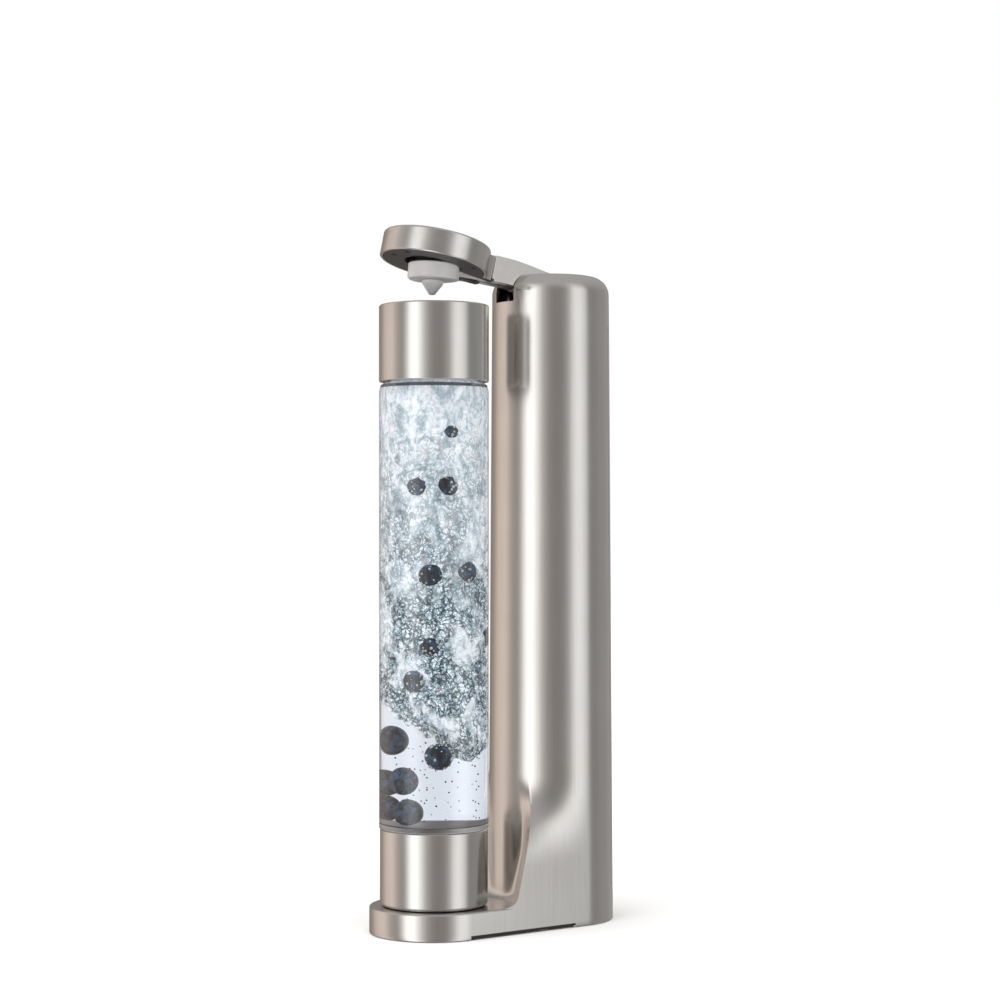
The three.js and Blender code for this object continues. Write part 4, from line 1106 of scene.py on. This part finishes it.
def froth():
    """White froth with curling dark edges of bubbles, more of them low down.
    It also glows in its own colour, a painted light.
    """
    paint, tree, shader, where = new_paint("froth")
    split = add(tree, "SeparateXYZ", {0: where})
    depth = spread(tree, split.outputs["Z"], 0.0, 1.0, 0.345, 0.15)

    def clouds(scale, detail, bend, squeeze=1.0):
        """Cloudy noise drawn out along the bottle by the squeeze."""
        return cloudy(tree, stretched(tree, where, (1, 1, squeeze)), scale, detail, 0.6, bend)

    def darkened(factor, one, two):
        """One colour times another, in full where the factor is one."""
        made = add(tree, "Mix", {}, data_type="RGBA", blend_type="MULTIPLY")
        feed(tree, made, {0: factor, 6: one, 7: two})
        return made.outputs[2]

    def cells(scale, push, sway_scale):
        """Walls of a foam of cells, bent by a coarse noise: distance to the nearest wall."""
        sway = add(tree, "TexNoise", {"Vector": where, "Scale": sway_scale, "Detail": 3.0})
        shift = add(tree, "VectorMath", {}, operation="MULTIPLY_ADD")
        feed(tree, shift, {0: sway.outputs["Color"], 1: (push, push, push), 2: where})
        foam = add(tree, "TexVoronoi", {}, feature="DISTANCE_TO_EDGE")
        feed(tree, foam, {"Vector": shift.outputs[0], "Scale": scale})
        return foam.outputs["Distance"]

    pale = graded(tree, clouds(150, 3, 1.0, 0.6), [
        (0.34, (0.42, 0.50, 0.53)), (0.46, (0.70, 0.77, 0.79)), (0.58, (1.0, 1.0, 1.0))])
    coarse_walls = graded(tree, cells(215, 0.015, 120), [
        (0.0, (0.012, 0.022, 0.03)), (0.06, (0.10, 0.15, 0.18)),
        (0.15, (0.80, 0.86, 0.88)), (0.32, (1.0, 1.0, 1.0))])
    fine_walls = graded(tree, cells(450, 0.008, 240), [
        (0.0, (0.05, 0.09, 0.11)), (0.09, (0.55, 0.64, 0.67)), (0.22, (1.0, 1.0, 1.0))])
    blots = graded(tree, clouds(95, 3, 1.2), [
        (0.56, (1.0, 1.0, 1.0)), (0.63, (0.40, 0.50, 0.54)), (0.72, (0.12, 0.18, 0.21))])
    curls = darkened(1.0, darkened(1.0, coarse_walls, fine_walls), blots)
    patches = spread(tree, clouds(55, 3, 0.8), 0.0, 1.0, 0.38, 0.55)
    strength = add(tree, "Math", {}, operation="MULTIPLY_ADD", use_clamp=True)
    feed(tree, strength, {0: patches, 1: depth, 2: 0.30})
    colour = darkened(strength.outputs[0], pale, curls)
    # The froth's colour is also its glow: painted light, though no lamp is inside the bottle.
    feed(tree, shader, {
        "Roughness": 0.16, "Specular IOR Level": 0.9, "Base Color": colour,
        "Emission Color": colour, "Emission Strength": 0.72,
        "Normal": relief(tree, clouds(260, 2, 1.0), 1.0, 0.0010)})
    return paint


fizz = fizz_cloud()
fitted(fizz, froth(), "clear_plastic", "bottle")
fizz.visible_glossy = False


# ---- Berries and beads of gas ----
# Blueberries tumbling in the froth and resting low in the water, and strings of small gas
# beads rising from the floor of the bottle. They are contents too.
def berry(size, spin, rows=36, cols=48):
    """A berry about the origin: radius R (1 - 0.10 at the crown's dent + 0.05 at its
    five-lobed rim) for the angle from the crown, then spun by a 3 x 3 matrix."""
    u = np.linspace(0, np.pi, rows)[1:-1, None]
    a = np.linspace(0, 2 * np.pi, cols, endpoint=False)[None, :]
    dent = 0.16 * np.exp(-((u / 0.22) ** 2))
    rim = 0.07 * np.exp(-(((u - 0.42) / 0.12) ** 2)) * (1 + 0.5 * np.cos(5 * a))
    r = size * (1 - dent + rim) * (1 - 0.06 * np.cos(u) ** 2)
    p = np.stack([r * np.sin(u) * np.cos(a), r * np.sin(u) * np.sin(a), r * np.cos(u) + 0 * a], -1)
    ends = np.array([[0, 0, size * 0.79], [0, 0, -size * 0.94]])
    points, faces = closed_by_poles(p, ends)
    return points @ spin.T, faces


def many(name, shapes, crease=180):
    """One object made of several closed shapes, each a pair of points and faces."""
    points, faces, count = [], [], 0
    for p, f in shapes:
        points.append(p)
        faces += [[i + count for i in face] for face in f]
        count += len(p)
    return face_out(mesh_piece(name, np.concatenate(points), faces, crease))


def berry_skin():
    """Dark blue-black skin with a pale waxy bloom in cloudy patches."""
    paint, tree, shader, where = new_paint("berry_skin")
    cloud = cloudy(tree, where, 170.0, 6.0, 0.5, 0.8)
    shades = [(0.46, (0.002, 0.004, 0.008)), (0.70, (0.055, 0.14, 0.26))]
    feed(tree, shader, {
        "Roughness": 0.25, "Specular IOR Level": 0.35,
        "Base Color": graded(tree, cloud, shades),
        "Normal": relief(tree, cloud, 0.4, 0.0003)})
    return paint


def ball(centre, size, rows=6, cols=8):
    """A small round bead of few faces."""
    u = np.linspace(0, np.pi, rows)[1:-1, None]
    a = np.linspace(0, 2 * np.pi, cols, endpoint=False)[None, :]
    p = np.stack([np.sin(u) * np.cos(a), np.sin(u) * np.sin(a), np.cos(u) + 0 * a], -1)
    points, faces = closed_by_poles(p, [[0, 0, 1], [0, 0, -1]])
    return points * size + centre, faces


def round_bottle(turn, reach, height):
    """A place inside the bottle: turn degrees round from its front corner, reach metres
    from its axis."""
    a = math.radians(-36 + turn)
    return np.array([spot[0] + reach * math.cos(a), spot[1] + reach * math.sin(a), height])


chance = np.random.default_rng(5)
# Each berry: degrees round the bottle, reach from its axis, height and size.
BERRIES = (
    (24, 0.0226, 0.3195, 0.0068), (-20, 0.0234, 0.2855, 0.0072), (20, 0.0236, 0.2860, 0.0074),
    (-3, 0.0246, 0.2290, 0.0080), (48, 0.0244, 0.2310, 0.0076), (-3, 0.0236, 0.1845, 0.0072),
    (-24, 0.0244, 0.1625, 0.0078), (8, 0.0240, 0.1150, 0.0085), (-76, 0.0228, 0.1240, 0.0096),
    (-46, 0.0236, 0.0990, 0.0090), (-38, 0.0230, 0.0790, 0.0090), (-102, 0.0238, 0.0800, 0.0085),
    (-108, 0.0238, 0.0960, 0.0084), (120, 0.0246, 0.3000, 0.0072), (165, 0.0246, 0.2350, 0.0075),
    (-140, 0.0246, 0.2600, 0.0070), (-150, 0.0246, 0.1800, 0.0075), (95, 0.0246, 0.1900, 0.0075),
)
IN_FROTH = 8
berries = []
for turn, reach, height, size in BERRIES:
    spin, _ = np.linalg.qr(chance.normal(size=(3, 3)))
    points, faces = berry(size, spin)
    berries.append((points + round_bottle(turn, reach, height), faces))
fruit = fitted(many("blueberries", berries), berry_skin(), "dark_plastic", "bottle")
fruit.visible_glossy = False

clusters = []
for turn, reach, height, size in BERRIES[:IN_FROTH]:
    middle_of_berry = round_bottle(turn, reach, height)
    for bead in range(34):
        way = chance.normal(size=3)
        way /= np.linalg.norm(way)
        outward = middle_of_berry - np.array([spot[0], spot[1], height])
        outward /= np.linalg.norm(outward)
        if way @ outward < 0.1:
            way -= 1.6 * (way @ outward) * outward
            way /= np.linalg.norm(way)
        place = middle_of_berry + way * size * 0.98
        bead_r = chance.uniform(0.0003, 0.0010)
        if np.hypot(place[0] - spot[0], place[1] - spot[1]) < 0.0326 - bead_r:
            clusters.append(ball(place, bead_r, 7, 10))
bead_white = moulded("bead_of_gas_white", (0.78, 0.84, 0.86), 0.12, 0.0)
froth_beads = fitted(many("froth_beads", clusters), bead_white, "clear_plastic", "bottle")
froth_beads.visible_glossy = False

beads = []
for string in range(13):
    turn, reach = chance.uniform(-70, 70), 0.030 * math.sqrt(chance.uniform(0.35, 1))
    height = 0.071 + chance.uniform(0, 0.01)
    while height < 0.125:
        place = round_bottle(turn + chance.normal() * 1.5, reach, height)
        beads.append(ball(place, chance.uniform(0.00035, 0.00065)))
        height += chance.uniform(0.004, 0.013)
bead_look = moulded("gas_bead", (0.05, 0.07, 0.10), 0.2, 0.0)
strings = fitted(many("rising_beads", beads), bead_look, "clear_plastic", "bottle")
strings.visible_glossy = False


# ---- Cap ----
# A satin stainless sleeve pressed over a grey moulded core. The core carries the screw
# thread, the soft seat for the nozzle and the caged check valve; a silicone ring seals it.
low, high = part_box("cap_sleeve")
r, sheet = 0.0353, 0.0020
opening, top_sheet = 0.0170, 0.0024
sleeve_line = [
    (r - sheet, low.z), (r - 0.0003, low.z), (r, low.z + 0.0003), (r, high.z - 0.0007),
    (r - 0.0007, high.z), (opening, high.z), (opening, high.z - top_sheet),
    (r - sheet, high.z - top_sheet),
]
sleeve = turned("cap_skirt", eased(sleeve_line + sleeve_line[:1], 0.0003)[:-1], spot, 192)
fitted(sleeve, upright_steel, "stainless", "cap", "cap_sleeve")
grey_abs = moulded("grey_abs", (0.32, 0.32, 0.33), 0.42, 0.15)
as_drawn("cap_core", "grey_cap_core", grey_abs, "grey_plastic", "cap")
as_drawn("poppet_cage", "grey_valve_cage", grey_abs, "grey_plastic", "cap")
as_drawn("cap_seat", "rubber_nozzle_seat", seal_rubber, "rubber", "cap")
as_drawn("check_poppet", "white_check_valve", white_acetal, "white_plastic", "poppet")
soft_clear = moulded("soft_silicone", (0.72, 0.73, 0.72), 0.45, 0.1)
as_drawn("cap_gasket", "silicone_gasket", soft_clear, "silicone", "cap_seal", 0.0004)
